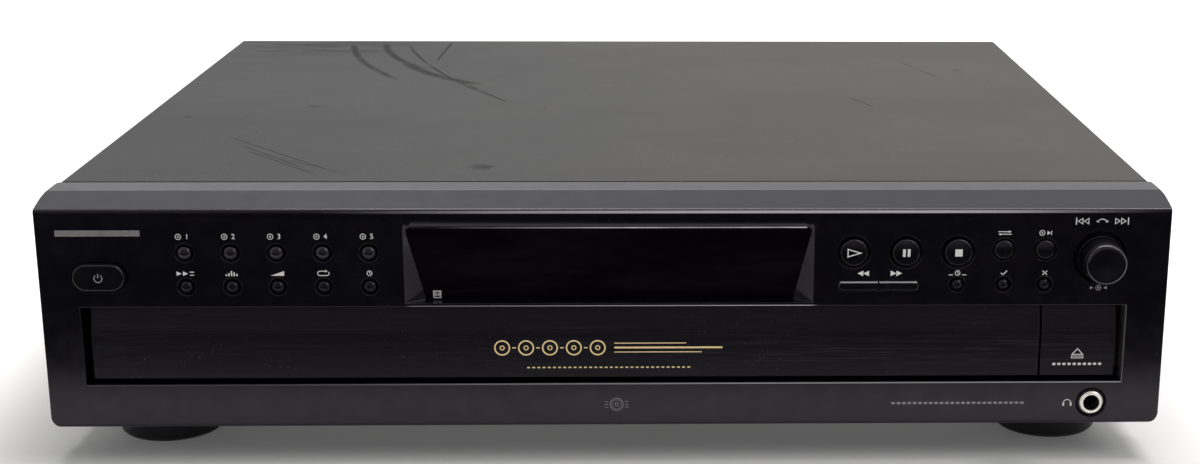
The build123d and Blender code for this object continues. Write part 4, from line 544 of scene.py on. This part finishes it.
def display_glass():
    """The dark glass of the display tube with its faint grid."""
    finish = Finish("tube_glass", specular=0.5)
    grid = finish.fade(finish.cells(1.4, "DISTANCE_TO_EDGE"), 0.04, 0.08, 1.0, 0.0)
    finish.colour(finish.blend(finish.both(grid, 0.5), (0.01, 0.014, 0.015), (0.05, 0.07, 0.07)))
    finish.roughness(finish.fade(finish.noise(10.0), 0.3, 0.7, 0.08, 0.16))
    finish.relief(grid, 0.01, 0.2)
    return finish.material


def ink(name, colour, darker):
    """Screen printed ink, thin in places."""
    finish = Finish(name, specular=0.3)
    thin = finish.fade(finish.noise(0.6, 3.0, 0.7), 0.35, 0.8)
    finish.colour(finish.blend(thin, colour, darker))
    finish.roughness(finish.fade(thin, 0.0, 1.0, 0.42, 0.6))
    finish.relief(finish.noise(0.25), 0.006)
    return finish.material


KEY_BLACK = (0.0018, 0.0017, 0.003)
SMALL_KEY_SHADE = (0.0026, 0.0025, 0.004)
# The panel's pale corners are set strong so that they also paint highlights along its edges.
PANEL = moulding("panel_plastic", (0.0022, 0.0018, 0.0038), (0.0028, 0.0024, 0.0048), 0.22, 0.38, corner=0.45,
                 wear_and_highlight=0.75, dusty=0.12, handled=0.03, edges=panel_lines)
KEY = moulding("key_plastic", KEY_BLACK, (0.0028, 0.0027, 0.0042), 0.22, 0.4, corner=0.3, wear_and_highlight=0.5)
SMALL_KEY = moulding("small_key_plastic", KEY_BLACK, SMALL_KEY_SHADE, 0.16, 0.18, corner=0.25, wear_and_highlight=0.4)
SEEK_KEY = moulding("seek_key_plastic", KEY_BLACK, SMALL_KEY_SHADE, 0.22, 0.4, corner=0.25, wear_and_highlight=0.4,
                    edges=seek_lines)
KNOB = moulding("knob_plastic", (0.0026, 0.0023, 0.0038), (0.0034, 0.0031, 0.0048), 0.2, 0.55, depth=0.006,
                wear_and_highlight=0.5, edges=knob_lines)
COVER = cover_paint()
DOOR = brushed_door()
BACK = moulding("back_paint", (0.014, 0.014, 0.015), (0.02, 0.02, 0.021), 0.5, 0.35, 0.6, 0.03)
FOOT = moulding("foot_plastic", (0.008, 0.008, 0.009), (0.013, 0.013, 0.014), 0.42, 0.4, 0.5, 0.03)
FRAME_PLASTIC = moulding("frame_plastic", (0.02, 0.02, 0.022), (0.03, 0.03, 0.033), 0.5, 0.4, 0.5, 0.03)
TRAY = moulding("tray_plastic", (0.016, 0.016, 0.018), (0.023, 0.023, 0.026), 0.48, 0.4, 0.5, 0.035,
                corner=0.4, wear_and_highlight=0.35)
SWITCH = moulding("switch_plastic", (0.05, 0.05, 0.055), (0.09, 0.09, 0.095), 0.45, 0.4)
GLASS = smoked_glass()
ZINC = zinc_sheet()
BOARD = circuit_board()
NYLON = natural_nylon()
RUBBER = rubber("belt_rubber")
MOTOR = turned_metal("motor_can", (0.6, 0.6, 0.6), 0.28, "z")
STEEL = turned_metal("rod_steel", (0.62, 0.62, 0.62), 0.16, "y")
SCREW = turned_metal("screw_steel", (0.09, 0.09, 0.095), 0.32, "x")
WHITE_INK = ink("white_ink", (0.78, 0.77, 0.75), (0.6, 0.6, 0.58))
GREY_INK = ink("grey_ink", (0.3, 0.29, 0.3), (0.2, 0.2, 0.2))
GOLD_INK = ink("gold_ink", (0.95, 0.74, 0.4), (0.8, 0.56, 0.24))
BADGE = turned_metal("badge_metal", (0.62, 0.61, 0.57), 0.32, "z")

FINISH_OF = {
    "chassis_pan": ZINC, "top_cover": COVER, "back_panel": BACK, "feet": FOOT, "case_screws": SCREW,
    "front_panel": PANEL, "display_window": GLASS, "phones_jack": jack_metal(), "control_board": BOARD,
    "front_switches": SWITCH, "display_tube": display_glass(), "main_board": BOARD,
    "power_transformer": laminated_core(), "cord_gland": rubber("gland_rubber"), "mech_frame": FRAME_PLASTIC,
    "clamp_bridge": ZINC, "clamp_puck": FRAME_PLASTIC, "loading_motor": MOTOR, "loading_belt": RUBBER,
    "loading_pulley": NYLON, "drive_gear": NYLON, "tray": TRAY, "tray_door": DOOR, "carousel": TRAY,
    "carousel_cap": DOOR, "table_motor": MOTOR, "table_gear": NYLON, "table_belt": RUBBER,
    "base_unit": FRAME_PLASTIC, "guide_rods": STEEL, "optical_pickup": cast_pickup(), "sled_gear": NYLON,
    "unit_motors": MOTOR, "disc_platter": FRAME_PLASTIC, "lift_slider": NYLON, "jog_shaft": STEEL,
    "jog_knob": KNOB, "open_close_button": DOOR,
}
FINISH_OF["output_jacks"] = FINISH_OF["phones_jack"]
for name in NODES:
    is_key = name.endswith("_button") or name.startswith("disc_button")
    if is_key and edge(name, 1, 0) - edge(name, 0, 0) < SMALL_KEY_WIDTH:
        FINISH_OF[name] = SMALL_KEY
for name in ("rewind_button", "forward_button"):
    FINISH_OF[name] = SEEK_KEY


def soft_shading(name, crease, ridge=None):
    """A modifier group that joins loose triangles and shades smooth, up to a crease in degrees.

    A shallow ridge along X at (y, z) is kept crisp too."""
    group = bpy.data.node_groups.new(name, "GeometryNodeTree")
    group.interface.new_socket("Geometry", in_out="INPUT", socket_type="NodeSocketGeometry")
    group.interface.new_socket("Geometry", in_out="OUTPUT", socket_type="NodeSocketGeometry")
    start = group.nodes.new("NodeGroupInput")
    plain = group.nodes.new("GeometryNodeRemoveAttribute")
    plain.inputs["Name"].default_value = "custom_normal"
    weld = group.nodes.new("GeometryNodeMergeByDistance")
    weld.inputs["Distance"].default_value = 0.002 * MM
    smooth = group.nodes.new("GeometryNodeSetShadeSmooth")
    crisp = group.nodes.new("GeometryNodeSetShadeSmooth")
    crisp.domain = "EDGE"
    crisp.inputs["Shade Smooth"].default_value = False
    angle = group.nodes.new("GeometryNodeInputMeshEdgeAngle")
    sharp = group.nodes.new("FunctionNodeCompare")
    sharp.data_type = "FLOAT"
    sharp.operation = "GREATER_THAN"
    sharp.inputs["B"].default_value = radians(crease)
    end = group.nodes.new("NodeGroupOutput")
    chain = [start, plain, weld, smooth, crisp, end]
    for first, second in zip(chain, chain[1:]):
        group.links.new(first.outputs["Geometry"], second.inputs["Geometry"])
    group.links.new(angle.outputs["Unsigned Angle"], sharp.inputs["A"])
    chosen = sharp.outputs["Result"]
    if ridge:
        place = group.nodes.new("GeometryNodeInputPosition")
        away = group.nodes.new("ShaderNodeVectorMath")
        away.operation = "DISTANCE"
        flatten = group.nodes.new("ShaderNodeVectorMath")
        flatten.operation = "MULTIPLY"
        flatten.inputs[1].default_value = (0.0, 1.0, 1.0)
        away.inputs[1].default_value = (0.0, ridge[0] * MM, ridge[1] * MM)
        near = group.nodes.new("FunctionNodeCompare")
        near.data_type = "FLOAT"
        near.operation = "LESS_THAN"
        near.inputs["B"].default_value = 0.3 * MM
        either = group.nodes.new("FunctionNodeBooleanMath")
        either.operation = "OR"
        group.links.new(place.outputs["Position"], flatten.inputs[0])
        group.links.new(flatten.outputs["Vector"], away.inputs[0])
        group.links.new(away.outputs["Value"], near.inputs["A"])
        group.links.new(near.outputs["Result"], either.inputs[0])
        group.links.new(chosen, either.inputs[1])
        chosen = either.outputs["Boolean"]
    group.links.new(chosen, crisp.inputs["Selection"])
    return group


TURNED = soft_shading("turned_shading", 28)
FOLDED = soft_shading("folded_shading", 8)
SHADING_OF = {"front_panel": soft_shading("hood_shading", 28, HOOD_RIDGE), "tray_door": FOLDED,
              "open_close_button": FOLDED}
for name, node in NODES.items():
    node.data.materials.clear()
    node.data.materials.append(FINISH_OF.get(name, KEY))
    node.modifiers.new("shading", "NODES").node_group = SHADING_OF.get(name, TURNED)
    level = node.modifiers.new("level_faces", "WEIGHTED_NORMAL")
    level.mode = "FACE_AREA"
    level.weight = 100
    level.keep_sharp = True


# --------------------------------------------------------------- printed marks
class Print:
    """Flat marks drawn in (x, z) millimetres round their own middle."""

    def __init__(self):
        self.shape = bmesh.new()

    def area(self, points):
        face = self.shape.faces.new([self.shape.verts.new((x, 0.0, z)) for x, z in points])
        face.normal_update()
        return face

    def outline(self, points, width):
        inner = self.area(points)
        bmesh.ops.inset_region(self.shape, faces=[inner], thickness=width, use_boundary=True,
                               use_even_offset=True)
        bmesh.ops.delete(self.shape, geom=[inner], context="FACES")

    def circle_points(self, x, z, radius, steps=32):
        turn = 2 * pi / steps
        return [(x + radius * cos(turn * i), z + radius * sin(turn * i)) for i in range(steps)]

    def disc(self, x, z, radius, steps):
        self.area(self.circle_points(x, z, radius, steps))

    def ring(self, x, z, radius, width):
        self.outline(self.circle_points(x, z, radius), width)

    def stroke(self, x0, z0, x1, z1, width):
        length = hypot(x1 - x0, z1 - z0)
        across_x = -(z1 - z0) / length * width / 2
        across_z = (x1 - x0) / length * width / 2
        self.area([(x0 - across_x, z0 - across_z), (x1 - across_x, z1 - across_z),
                   (x1 + across_x, z1 + across_z), (x0 + across_x, z0 + across_z)])

    def arc(self, x, z, radius, start, end, width, steps=16):
        inner = radius - width / 2
        outer = radius + width / 2
        angles = [radians(start + (end - start) * i / steps) for i in range(steps + 1)]
        rim = [(x + outer * cos(a), z + outer * sin(a)) for a in angles]
        back = [(x + inner * cos(a), z + inner * sin(a)) for a in reversed(angles)]
        for i in range(steps):
            self.area([rim[i], rim[i + 1], back[steps - i - 1], back[steps - i]])

    def box(self, x, z, width, height):
        self.area([(x - width / 2, z - height / 2), (x + width / 2, z - height / 2),
                   (x + width / 2, z + height / 2), (x - width / 2, z + height / 2)])

    def arrow(self, x, z, width, height, turned=1):
        """A filled triangle that points along +X, or along -X with turned -1."""
        back = x - turned * width / 2
        self.area([(back, z - height / 2), (x + turned * width / 2, z), (back, z + height / 2)])

    def digit(self, text, x, z, height):
        """A plain digit from the built-in font."""
        curve = bpy.data.curves.new("digit", "FONT")
        curve.body = text
        curve.align_x = "CENTER"
        curve.align_y = "CENTER"
        curve.size = height * 1.42
        curve.offset = height * 0.012
        holder = bpy.data.objects.new("digit", curve)
        mesh = bpy.data.meshes.new_from_object(holder)
        mesh.transform(Matrix.Translation((x, 0, z)) @ Matrix.Rotation(pi / 2, 4, "X"))
        self.shape.from_mesh(mesh)
        bpy.data.objects.remove(holder)
        bpy.data.curves.remove(curve)
        bpy.data.meshes.remove(mesh)

    def lay(self, name, x, y, z, finish, body, slot, thickness=INK, lean=0.0, turn=0.0):
        """Give the marks their thickness and set them on an upright, leaning or level surface."""
        shape = self.shape
        faces = list(shape.faces)
        raised = bmesh.ops.extrude_face_region(shape, geom=faces, use_keep_orig=True)["geom"]
        moved = [item for item in raised if isinstance(item, bmesh.types.BMVert)]
        bmesh.ops.translate(shape, verts=moved, vec=(0, -thickness, 0))
        place = Matrix.Translation((x, y, z)) @ Matrix.Rotation(turn, 4, "Z") @ Matrix.Rotation(lean, 4, "X")
        bmesh.ops.transform(shape, matrix=place, verts=shape.verts)
        return finished(name, shape, finish, body)


def finished(name, shape, finish, body):
    """Turn a shape in millimetres into a piece that rides on a body."""
    bmesh.ops.scale(shape, vec=(MM, MM, MM), verts=shape.verts)
    bmesh.ops.remove_doubles(shape, verts=shape.verts, dist=1e-7)
    bmesh.ops.recalc_face_normals(shape, faces=shape.faces)
    mesh = bpy.data.meshes.new(name)
    shape.to_mesh(mesh)
    shape.free()
    mesh.materials.append(finish)
    piece = bpy.data.objects.new(name, mesh)
    bpy.context.scene.collection.objects.link(piece)
    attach(piece, body)
    return piece


def drawn(draw):
    """The flat marks that a drawing function makes."""
    marks = Print()
    draw(marks)
    return marks


def on_panel(name, x, height, draw, finish=WHITE_INK, thickness=INK):
    """Marks on the panel's face, at a height above its lower edge."""
    drawn(draw).lay(name, x, FACE_Y, PANEL_FOOT + height, finish, "case", "panel_plastic", thickness)


def disc_number(number):
    def draw(marks):
        marks.ring(-1.7, 0, 1.15, 0.26)
        marks.disc(-1.7, 0, 0.32, steps=12)
        marks.digit(str(number), 1.6, 0, 2.0)
    return draw


def play_order(marks):
    for x in (-2.4, 0.0):
        marks.arrow(x, 0, 1.9, 1.8)
    marks.stroke(1.6, 0.6, 3.2, 0.6, 0.3)
    marks.stroke(1.6, -0.6, 3.2, -0.6, 0.3)


def peak_bars(marks):
    for i, tall in enumerate((0.7, 1.2, 2.0, 1.5, 0.9)):
        marks.box(-2.0 + i, tall / 2 - 1.0, 0.5, tall)


def fade_wedge(marks):
    marks.area([(-2.6, -0.9), (2.6, -0.9), (2.6, 0.9)])


def repeat_loop(marks):
    marks.arc(-1.3, 0, 0.85, 90, 270, 0.3)
    marks.arc(1.3, 0, 0.85, -90, 40, 0.3)
    marks.stroke(-1.3, 0.85, 1.0, 0.85, 0.3)
    marks.stroke(-1.3, -0.85, 1.3, -0.85, 0.3)
    marks.arrow(1.2, 0.85, 0.9, 1.1)


def clock_face(marks):
    marks.ring(0, 0, 1.05, 0.26)
    marks.stroke(0, 0, 0, 0.75, 0.24)
    marks.stroke(0, 0, 0.55, -0.2, 0.24)


def swap_arrows(marks):
    marks.stroke(-2.6, 0.5, 1.6, 0.5, 0.3)
    marks.arrow(2.0, 0.5, 1.0, 0.95)
    marks.stroke(-1.6, -0.5, 2.6, -0.5, 0.3)
    marks.arrow(-2.0, -0.5, 1.0, 0.95, -1)


def next_disc(marks):
    marks.ring(-1.6, 0, 1.1, 0.26)
    marks.disc(-1.6, 0, 0.3, steps=12)
    marks.arrow(1.0, 0, 1.3, 1.6)
    marks.stroke(1.95, -0.8, 1.95, 0.8, 0.3)


def clock_and_bar(marks):
    clock_face(marks)
    marks.stroke(1.7, -0.75, 3.4, -0.75, 0.28)
    marks.stroke(-3.4, -0.75, -1.7, -0.75, 0.28)


def tick(marks):
    marks.stroke(-1.1, 0.0, -0.3, -0.8, 0.34)
    marks.stroke(-0.38, -0.8, 1.2, 0.9, 0.34)


def cross(marks):
    marks.stroke(-0.9, -0.8, 0.9, 0.8, 0.34)
    marks.stroke(-0.9, 0.8, 0.9, -0.8, 0.34)


def double_arrows(turned):
    def draw(marks):
        marks.arrow(-1.1, 0, 2.2, 2.2, turned)
        marks.arrow(1.1, 0, 2.2, 2.2, turned)
    return draw


def track_arrows(turned):
    """Two outlined triangles against a bar, for the previous or the next track."""
    def draw(marks):
        for x in (-1.25, 1.05):
            back = x - turned * 1.1
            tip = x + turned * 1.1
            marks.outline([(back, -1.35), (tip, 0), (back, 1.35)], 0.3)
        marks.stroke(turned * 2.75, -1.4, turned * 2.75, 1.4, 0.42)
    return draw


def turn_both_ways(marks):
    marks.arc(0, -1.0, 2.0, 35, 145, 0.36)
    for side in (-1, 1):
        marks.arrow(side * 1.9, 0.1, 1.1, 1.2, side)


def push_in(marks):
    marks.ring(0, 0, 1.1, 0.24)
    marks.disc(0, 0, 0.42, steps=16)
    for side in (-1, 1):
        marks.arrow(side * 2.6, 0, 1.3, 1.3, -side)


def power_mark(marks):
    marks.arc(0, -0.1, 1.5, 125, 415, 0.34, 28)
    marks.stroke(0, 0.1, 0, 1.75, 0.34)


def play_mark(marks):
    marks.outline([(-2.6, -1.75), (3.1, 0), (-2.6, 1.75)], 0.4)


def pause_mark(marks):
    marks.box(-0.9, 0, 1.05, 3.0)
    marks.box(0.9, 0, 1.05, 3.0)


def stop_mark(marks):
    marks.box(0, 0, 2.8, 2.8)


def eject_mark(marks):
    marks.outline([(-2.5, 0.4), (2.5, 0.4), (0, 3.2)], 0.34)
    marks.outline([(-2.4, -1.0), (2.4, -1.0), (2.4, 0.0), (-2.4, 0.0)], 0.26)


def headphones(marks):
    marks.arc(0, -0.3, 1.5, 0, 180, 0.3, 18)
    for side in (-1, 1):
        marks.box(side * 1.45, -0.7, 0.75, 1.35)


def plain_disc(marks):
    marks.ring(0, 0, 2.6, 0.24)
    marks.ring(0, 0, 1.9, 0.14)
    marks.ring(0, 0, 0.75, 0.2)
    for side in (-1, 1):
        for row in (-1.1, 0.0, 1.1):
            marks.stroke(side * 3.2, row, side * 4.6, row, 0.2)


def dashes(count, pitch, length, width):
    def draw(marks):
        for i in range(count):
            x = (i - (count - 1) / 2) * pitch
            marks.stroke(x - length / 2, 0, x + length / 2, 0, width)
    return draw


def five_discs(marks):
    """Five rings in a row with a long rule: the door's gold print."""
    for i in range(5):
        x = -41.0 + 9.2 * i
        marks.ring(x, 0, 3.1, 0.55)
        marks.ring(x, 0, 1.0, 0.4)
        if i < 4:
            marks.stroke(x + 3.9, 0, x + 5.3, 0, 0.45)
    marks.stroke(2.2, 0.0, 44.0, 0.0, 0.7)
    marks.stroke(2.2, 1.8, 30.0, 1.8, 0.35)
    marks.stroke(2.2, -1.8, 36.0, -1.8, 0.35)


# Heights of the rows of marks, above the panel's foot.
TRACK_ROW = 81.8
SKIP_ROW = 77.2
DISC_ROW = 76.2
MODE_ROW = 61.8
EDIT_ROW = 61.4
SEEK_ROW = 61.3
FOOT_ROW = 8.7

for number in range(1, 6):
    on_panel(f"disc_number_{number}", middle(f"disc_button_{number}", 0) - 0.2, DISC_ROW, disc_number(number))

LABELS = [
    ("play_mode_button", MODE_ROW, play_order), ("peak_search_button", MODE_ROW, peak_bars),
    ("fader_button", MODE_ROW, fade_wedge), ("repeat_button", MODE_ROW, repeat_loop),
    ("time_button", MODE_ROW, clock_face), ("exchange_button", SKIP_ROW, swap_arrows),
    ("disc_skip_button", SKIP_ROW, next_disc), ("time_edit_button", EDIT_ROW, clock_and_bar),
    ("check_button", EDIT_ROW, tick), ("clear_button", EDIT_ROW, cross),
]
for key, height, draw in LABELS:
    on_panel(key.replace("button", "symbol"), middle(key, 0), height, draw)

# The marks that stand by themselves: name, x, height above the panel's foot, drawing and ink.
KNOB_X = middle("jog_knob", 0)
LONE_MARKS = [
    ("rewind_symbol", 97.6, SEEK_ROW, double_arrows(-1), WHITE_INK),
    ("forward_symbol", 110.3, SEEK_ROW, double_arrows(1), WHITE_INK),
    ("previous_track_symbol", 181.2, TRACK_ROW, track_arrows(-1), WHITE_INK),
    ("next_track_symbol", 195.6, TRACK_ROW, track_arrows(1), WHITE_INK),
    ("turn_symbol", KNOB_X, 81.6, turn_both_ways, WHITE_INK),
    ("push_symbol", KNOB_X, 55.4, push_in, GREY_INK),
    ("phones_symbol", 179.0, FOOT_ROW, headphones, WHITE_INK),
    ("plain_disc_symbol", 3.0, FOOT_ROW, plain_disc, GREY_INK),
    ("panel_rule", 136.0, FOOT_ROW, dashes(25, 2.1, 1.4, 0.9), GREY_INK),
]
for name, x, height, draw, finish in LONE_MARKS:
    on_panel(name, x, height, draw, finish)
on_panel("badge_bar", -191.6, 77.6, lambda marks: marks.box(0, 0, 31.6, 2.2), BADGE, 0.25)


def on_key(key, symbol, draw, z, finish=WHITE_INK, slot="key_plastic", sunk=0.0, thickness=INK):
    """Marks on a key's face, or sunk a little into its curve, that move with the key."""
    drawn(draw).lay(symbol, middle(key, 0), edge(key, 0, 1) + sunk, z, finish, key, slot, thickness)


for key, draw in (("play_button", play_mark), ("pause_button", pause_mark), ("stop_button", stop_mark)):
    on_key(key, key.replace("button", "symbol"), draw, middle(key, 2), sunk=0.15, thickness=0.17)
on_key("power_button", "power_symbol", power_mark, middle("power_button", 2), GREY_INK)
on_key("open_close_button", "eject_symbol", eject_mark, PANEL_FOOT + 27.2, slot="door_plastic")
on_key("open_close_button", "open_close_rule", dashes(10, 2.0, 1.2, 0.9), PANEL_FOOT + 23.9,
       slot="door_plastic")

for name, height, draw in (("door_print", 31.2, five_discs),
                           ("door_fine_print", 23.2, dashes(32, 2.0, 1.1, 0.5))):
    drawn(draw).lay(name, 0.0, DOOR_Y, PANEL_FOOT + height, GOLD_INK, "tray", "door_plastic")


def framed_ring(marks):
    """A small pale square with a dark ring in it, in the corner of the window."""
    marks.outline([(-1.55, -1.6), (1.55, -1.6), (1.55, 1.6), (-1.55, 1.6)], 0.45)
    marks.ring(0, 0, 0.62, 0.26)
    for side in (-1, 1):
        marks.box(side * 0.86, 0, 0.3, 1.7)


def socket_frame(marks):
    """A thin frame round the two output sockets, with an outward arrow over each."""
    marks.outline([(-20.0, -10.5), (20.0, -10.5), (20.0, 16.0), (-20.0, 16.0)], 0.4)
    for x in (-SOCKET_SIDE, SOCKET_SIDE):
        marks.area([(x - 1.5, 11.2), (x + 1.5, 11.2), (x, 13.6)])
    marks.stroke(-12.0, 9.6, 12.0, 9.6, 0.35)


BACK_FACE = edge("back_panel", 1, 1)
drawn(socket_frame).lay("socket_frame", middle("output_jacks", 0), BACK_FACE, middle("output_jacks", 2),
                        GREY_INK, "case", "back_paint", turn=pi)


def window_edge():
    """A painted highlight along the upper edge of the window, brighter towards its right."""
    finish = Finish("painted_window_highlight", roughness=0.2, specular=0.5)
    lit = finish.fade(finish.x, -70.0 * MM, 10.0 * MM)
    uneven = finish.fade(finish.noise((30.0, 9.0, 9.0), 3.0), 0.3, 0.6, 0.55, 1.0)
    finish.colour(finish.blend(finish.both(lit, uneven), (0.01, 0.009, 0.014), (0.72, 0.7, 0.74)))
    finish.roughness(finish.fade(uneven, 0.5, 1.0, 0.3, 0.18))
    finish.relief(finish.noise(0.4), 0.006)
    return finish.material


WINDOW_TOP = (FACE_Y + 1.2, PANEL_FOOT + 79.25)     # front of the window at its upper edge
# A thin strip on the window's upper edge that carries its painted highlight.
drawn(lambda marks: marks.box(0.6, 0, 150.4, 0.42)).lay(
    "window_top_highlight", 0.0, *WINDOW_TOP, window_edge(), "case", "smoked_window", 0.12)

GLASS_FOOT = (FACE_Y + 5.6, PANEL_FOOT + 49.7)      # front of the leaning glass at its foot
GLASS_LEAN = radians(8.43)
MARK_UP = 2.15                                      # height of the mark's middle up the glass
MARK_Y = GLASS_FOOT[0] - MARK_UP * sin(GLASS_LEAN)
MARK_Z = GLASS_FOOT[1] + MARK_UP * cos(GLASS_LEAN)
drawn(framed_ring).lay("window_mark", -65.6, MARK_Y, MARK_Z, WHITE_INK, "case", "smoked_window",
                       lean=GLASS_LEAN)

CAROUSEL_TOP = edge("carousel", 1, 2)
CAROUSEL_AT = (middle("carousel_cap", 0), middle("carousel_cap", 1))
NUMBER_RING = 146.0                                 # radius of the circle of pocket numbers
FIRST_NUMBER = 126.0                                # where number 1 lies on it, in degrees
POCKET_STEP = 72.0                                  # from one pocket to the next
for number in range(1, 6):
    angle = radians(FIRST_NUMBER + POCKET_STEP * (number - 1))
    marks = Print()
    marks.digit(str(number), 0, 0, 9.0)
    marks.stroke(-5.0, -8.5, 5.0, -8.5, 0.7)
    marks.lay(f"pocket_number_{number}", CAROUSEL_AT[0] + NUMBER_RING * cos(angle),
              CAROUSEL_AT[1] + NUMBER_RING * sin(angle), CAROUSEL_TOP, WHITE_INK, "carousel", "tray_plastic",
              lean=-pi / 2, turn=angle + pi / 2)


# ----------------------------------------------------------- studio and camera
# Lamps, cards and the floor's size are in metres here.
ROOM_LIGHT = 0.38               # strength of the surroundings where they only carry light
FLOOR_SIZE = 6.0
# The floor's own light grows with the distance from the case, and its weakness near the case
# is a painted shadow: start and end in millimetres, and the level at each. The two are added.
FLOOR_FADES = [(15.0, 80.0, 0.06, 0.36), (200.0, 1500.0, 0.0, 0.66)]
CARD_GAP = 96.0                 # from the panel's face to the table card, in millimetres
EYE = Vector((15.2, -897.2, 276.2)) * MM
YAW = radians(1.73)
PITCH = radians(15.94)
ROLL = radians(0.34)
FOCAL_PX = 1931.9
AXIS_PX = (703.9, 280.7)
IMAGE_PX = (1200, 464)
SENSOR = 36.0


def photograph_camera():
    """A camera where the photograph was taken, with the same framing."""
    data = bpy.data.cameras.new("camera")
    data.sensor_width = SENSOR
    data.lens = FOCAL_PX / IMAGE_PX[0] * SENSOR
    data.shift_x = (IMAGE_PX[0] / 2 - AXIS_PX[0]) / IMAGE_PX[0]
    data.shift_y = (AXIS_PX[1] - IMAGE_PX[1] / 2) / IMAGE_PX[0]
    data.clip_start = 0.01
    camera = bpy.data.objects.new("camera", data)
    forward = Vector((sin(YAW) * cos(PITCH), cos(YAW) * cos(PITCH), -sin(PITCH)))
    level = Vector((cos(YAW), -sin(YAW), 0))
    up = level.cross(forward)
    right = level * cos(ROLL) + up * sin(ROLL)
    top = up * cos(ROLL) - level * sin(ROLL)
    turn = Matrix((right, top, -forward)).transposed().to_4x4()
    camera.matrix_world = Matrix.Translation(EYE) @ turn
    bpy.context.scene.collection.objects.link(camera)
    bpy.context.scene.camera = camera


def lamp(name, place, aim, size, watts):
    data = bpy.data.lights.new(name, "AREA")
    data.shape = "RECTANGLE"
    data.size, data.size_y = size
    data.energy = watts
    lamp_object = bpy.data.objects.new(name, data)
    turn = (Vector(aim) - Vector(place)).to_track_quat("-Z", "Y").to_matrix().to_4x4()
    lamp_object.matrix_world = Matrix.Translation(place) @ turn
    bpy.context.scene.collection.objects.link(lamp_object)


def seen_directly(tree):
    """1 for camera, glossy and transmission rays, 0 for the rays that only carry light."""
    rays = tree.nodes.new("ShaderNodeLightPath")
    value = rays.outputs["Is Camera Ray"]
    for name in ("Is Glossy Ray", "Is Transmission Ray"):
        either = tree.nodes.new("ShaderNodeMath")
        either.operation = "MAXIMUM"
        tree.links.new(value, either.inputs[0])
        tree.links.new(rays.outputs[name], either.inputs[1])
        value = either.outputs[0]
    return value


def white_surroundings():
    """A white background that lights the object at a plain level."""
    world = bpy.data.worlds.new("studio")
    bpy.context.scene.world = world
    world.use_nodes = True
    tree = world.node_tree
    background = tree.nodes["Background"]
    background.inputs["Color"].default_value = (1.0, 1.0, 1.0, 1.0)
    level = tree.nodes.new("ShaderNodeMapRange")
    level.inputs["To Min"].default_value = ROOM_LIGHT
    level.inputs["To Max"].default_value = 1.0
    tree.links.new(seen_directly(tree), level.inputs["Value"])
    tree.links.new(level.outputs["Result"], background.inputs["Strength"])


def floor():
    """A pale table top whose own glow is weak near the case, a painted shadow, and turns white further away.
    """
    shape = bmesh.new()
    bmesh.ops.create_grid(shape, x_segments=1, y_segments=1, size=FLOOR_SIZE)
    mesh = bpy.data.meshes.new("floor")
    shape.to_mesh(mesh)
    shape.free()
    finish = Finish("floor_board", roughness=0.8, specular=0.1)
    mottle = finish.noise(240.0, 2.0)
    finish.colour(finish.blend(finish.fade(mottle, 0.3, 0.7), (0.8, 0.79, 0.78), (0.83, 0.82, 0.81)))
    finish.shader.inputs["Emission Color"].default_value = (1.0, 1.0, 1.0, 1.0)
    outside = []
    for place, side in ((finish.x, edge("front_panel", 1, 0)), (finish.y, -FACE_Y)):
        beyond = finish.sum("SUBTRACT", finish.sum("ABSOLUTE", place), side * MM)
        outside.append(finish.sum("MAXIMUM", beyond, 0.0))
    distance = finish.span(*outside)
    # The near fade paints the shadow round the case.
    near, far = [finish.fade(distance, start * MM, end * MM, low, high)
                 for start, end, low, high in FLOOR_FADES]
    glow = finish.sum("ADD", near, far)
    finish.feed(finish.shader.inputs["Emission Strength"], finish.both(seen_directly(finish.tree), glow))
    mesh.materials.append(finish.material)
    table = bpy.data.objects.new("floor", mesh)
    bpy.context.scene.collection.objects.link(table)


def card(name, width, height, place, upright, glow):
    """A card in front of the object, dark or dimly lit, seen only in its glossy faces."""
    shape = bmesh.new()
    bmesh.ops.create_grid(shape, x_segments=1, y_segments=1, size=0.5)
    bmesh.ops.scale(shape, vec=(width, height, 1.0), verts=shape.verts)
    if upright:
        bmesh.ops.rotate(shape, matrix=Matrix.Rotation(pi / 2, 3, "X"), verts=shape.verts)
    bmesh.ops.translate(shape, vec=place, verts=shape.verts)
    mesh = bpy.data.meshes.new(name)
    shape.to_mesh(mesh)
    shape.free()
    finish = Finish(name, roughness=0.9, specular=0.0)
    finish.colour(finish.blend(finish.noise(60.0), (0.01, 0.01, 0.012), (0.015, 0.015, 0.017)))
    finish.shader.inputs["Emission Color"].default_value = (0.9, 0.86, 1.0, 1.0)
    finish.shader.inputs["Emission Strength"].default_value = glow
    mesh.materials.append(finish.material)
    piece = bpy.data.objects.new(name, mesh)
    piece.visible_camera = False
    piece.visible_diffuse = False
    piece.visible_transmission = False
    piece.visible_shadow = False
    bpy.context.scene.collection.objects.link(piece)


photograph_camera()
white_surroundings()
floor()
card("table_card", width=4.0, height=1.2, place=(0.0, (FACE_Y - CARD_GAP) * MM - 0.6, 0.5 * MM),
     upright=False, glow=0.0)
card("room_card", width=8.0, height=4.4, place=(0.0, -2.6, 2.2), upright=True, glow=0.4)
lamp("overhead_lamp", place=(0.3, 0.35, 2.0), aim=(0.0, 0.0, 0.0), size=(2.2, 0.35), watts=42.0)
lamp("side_lamp", place=(1.6, -0.9, 1.5), aim=(0.0, 0.0, 0.05), size=(1.0, 1.0), watts=9.0)
bpy.context.scene.view_settings.view_transform = "Standard"
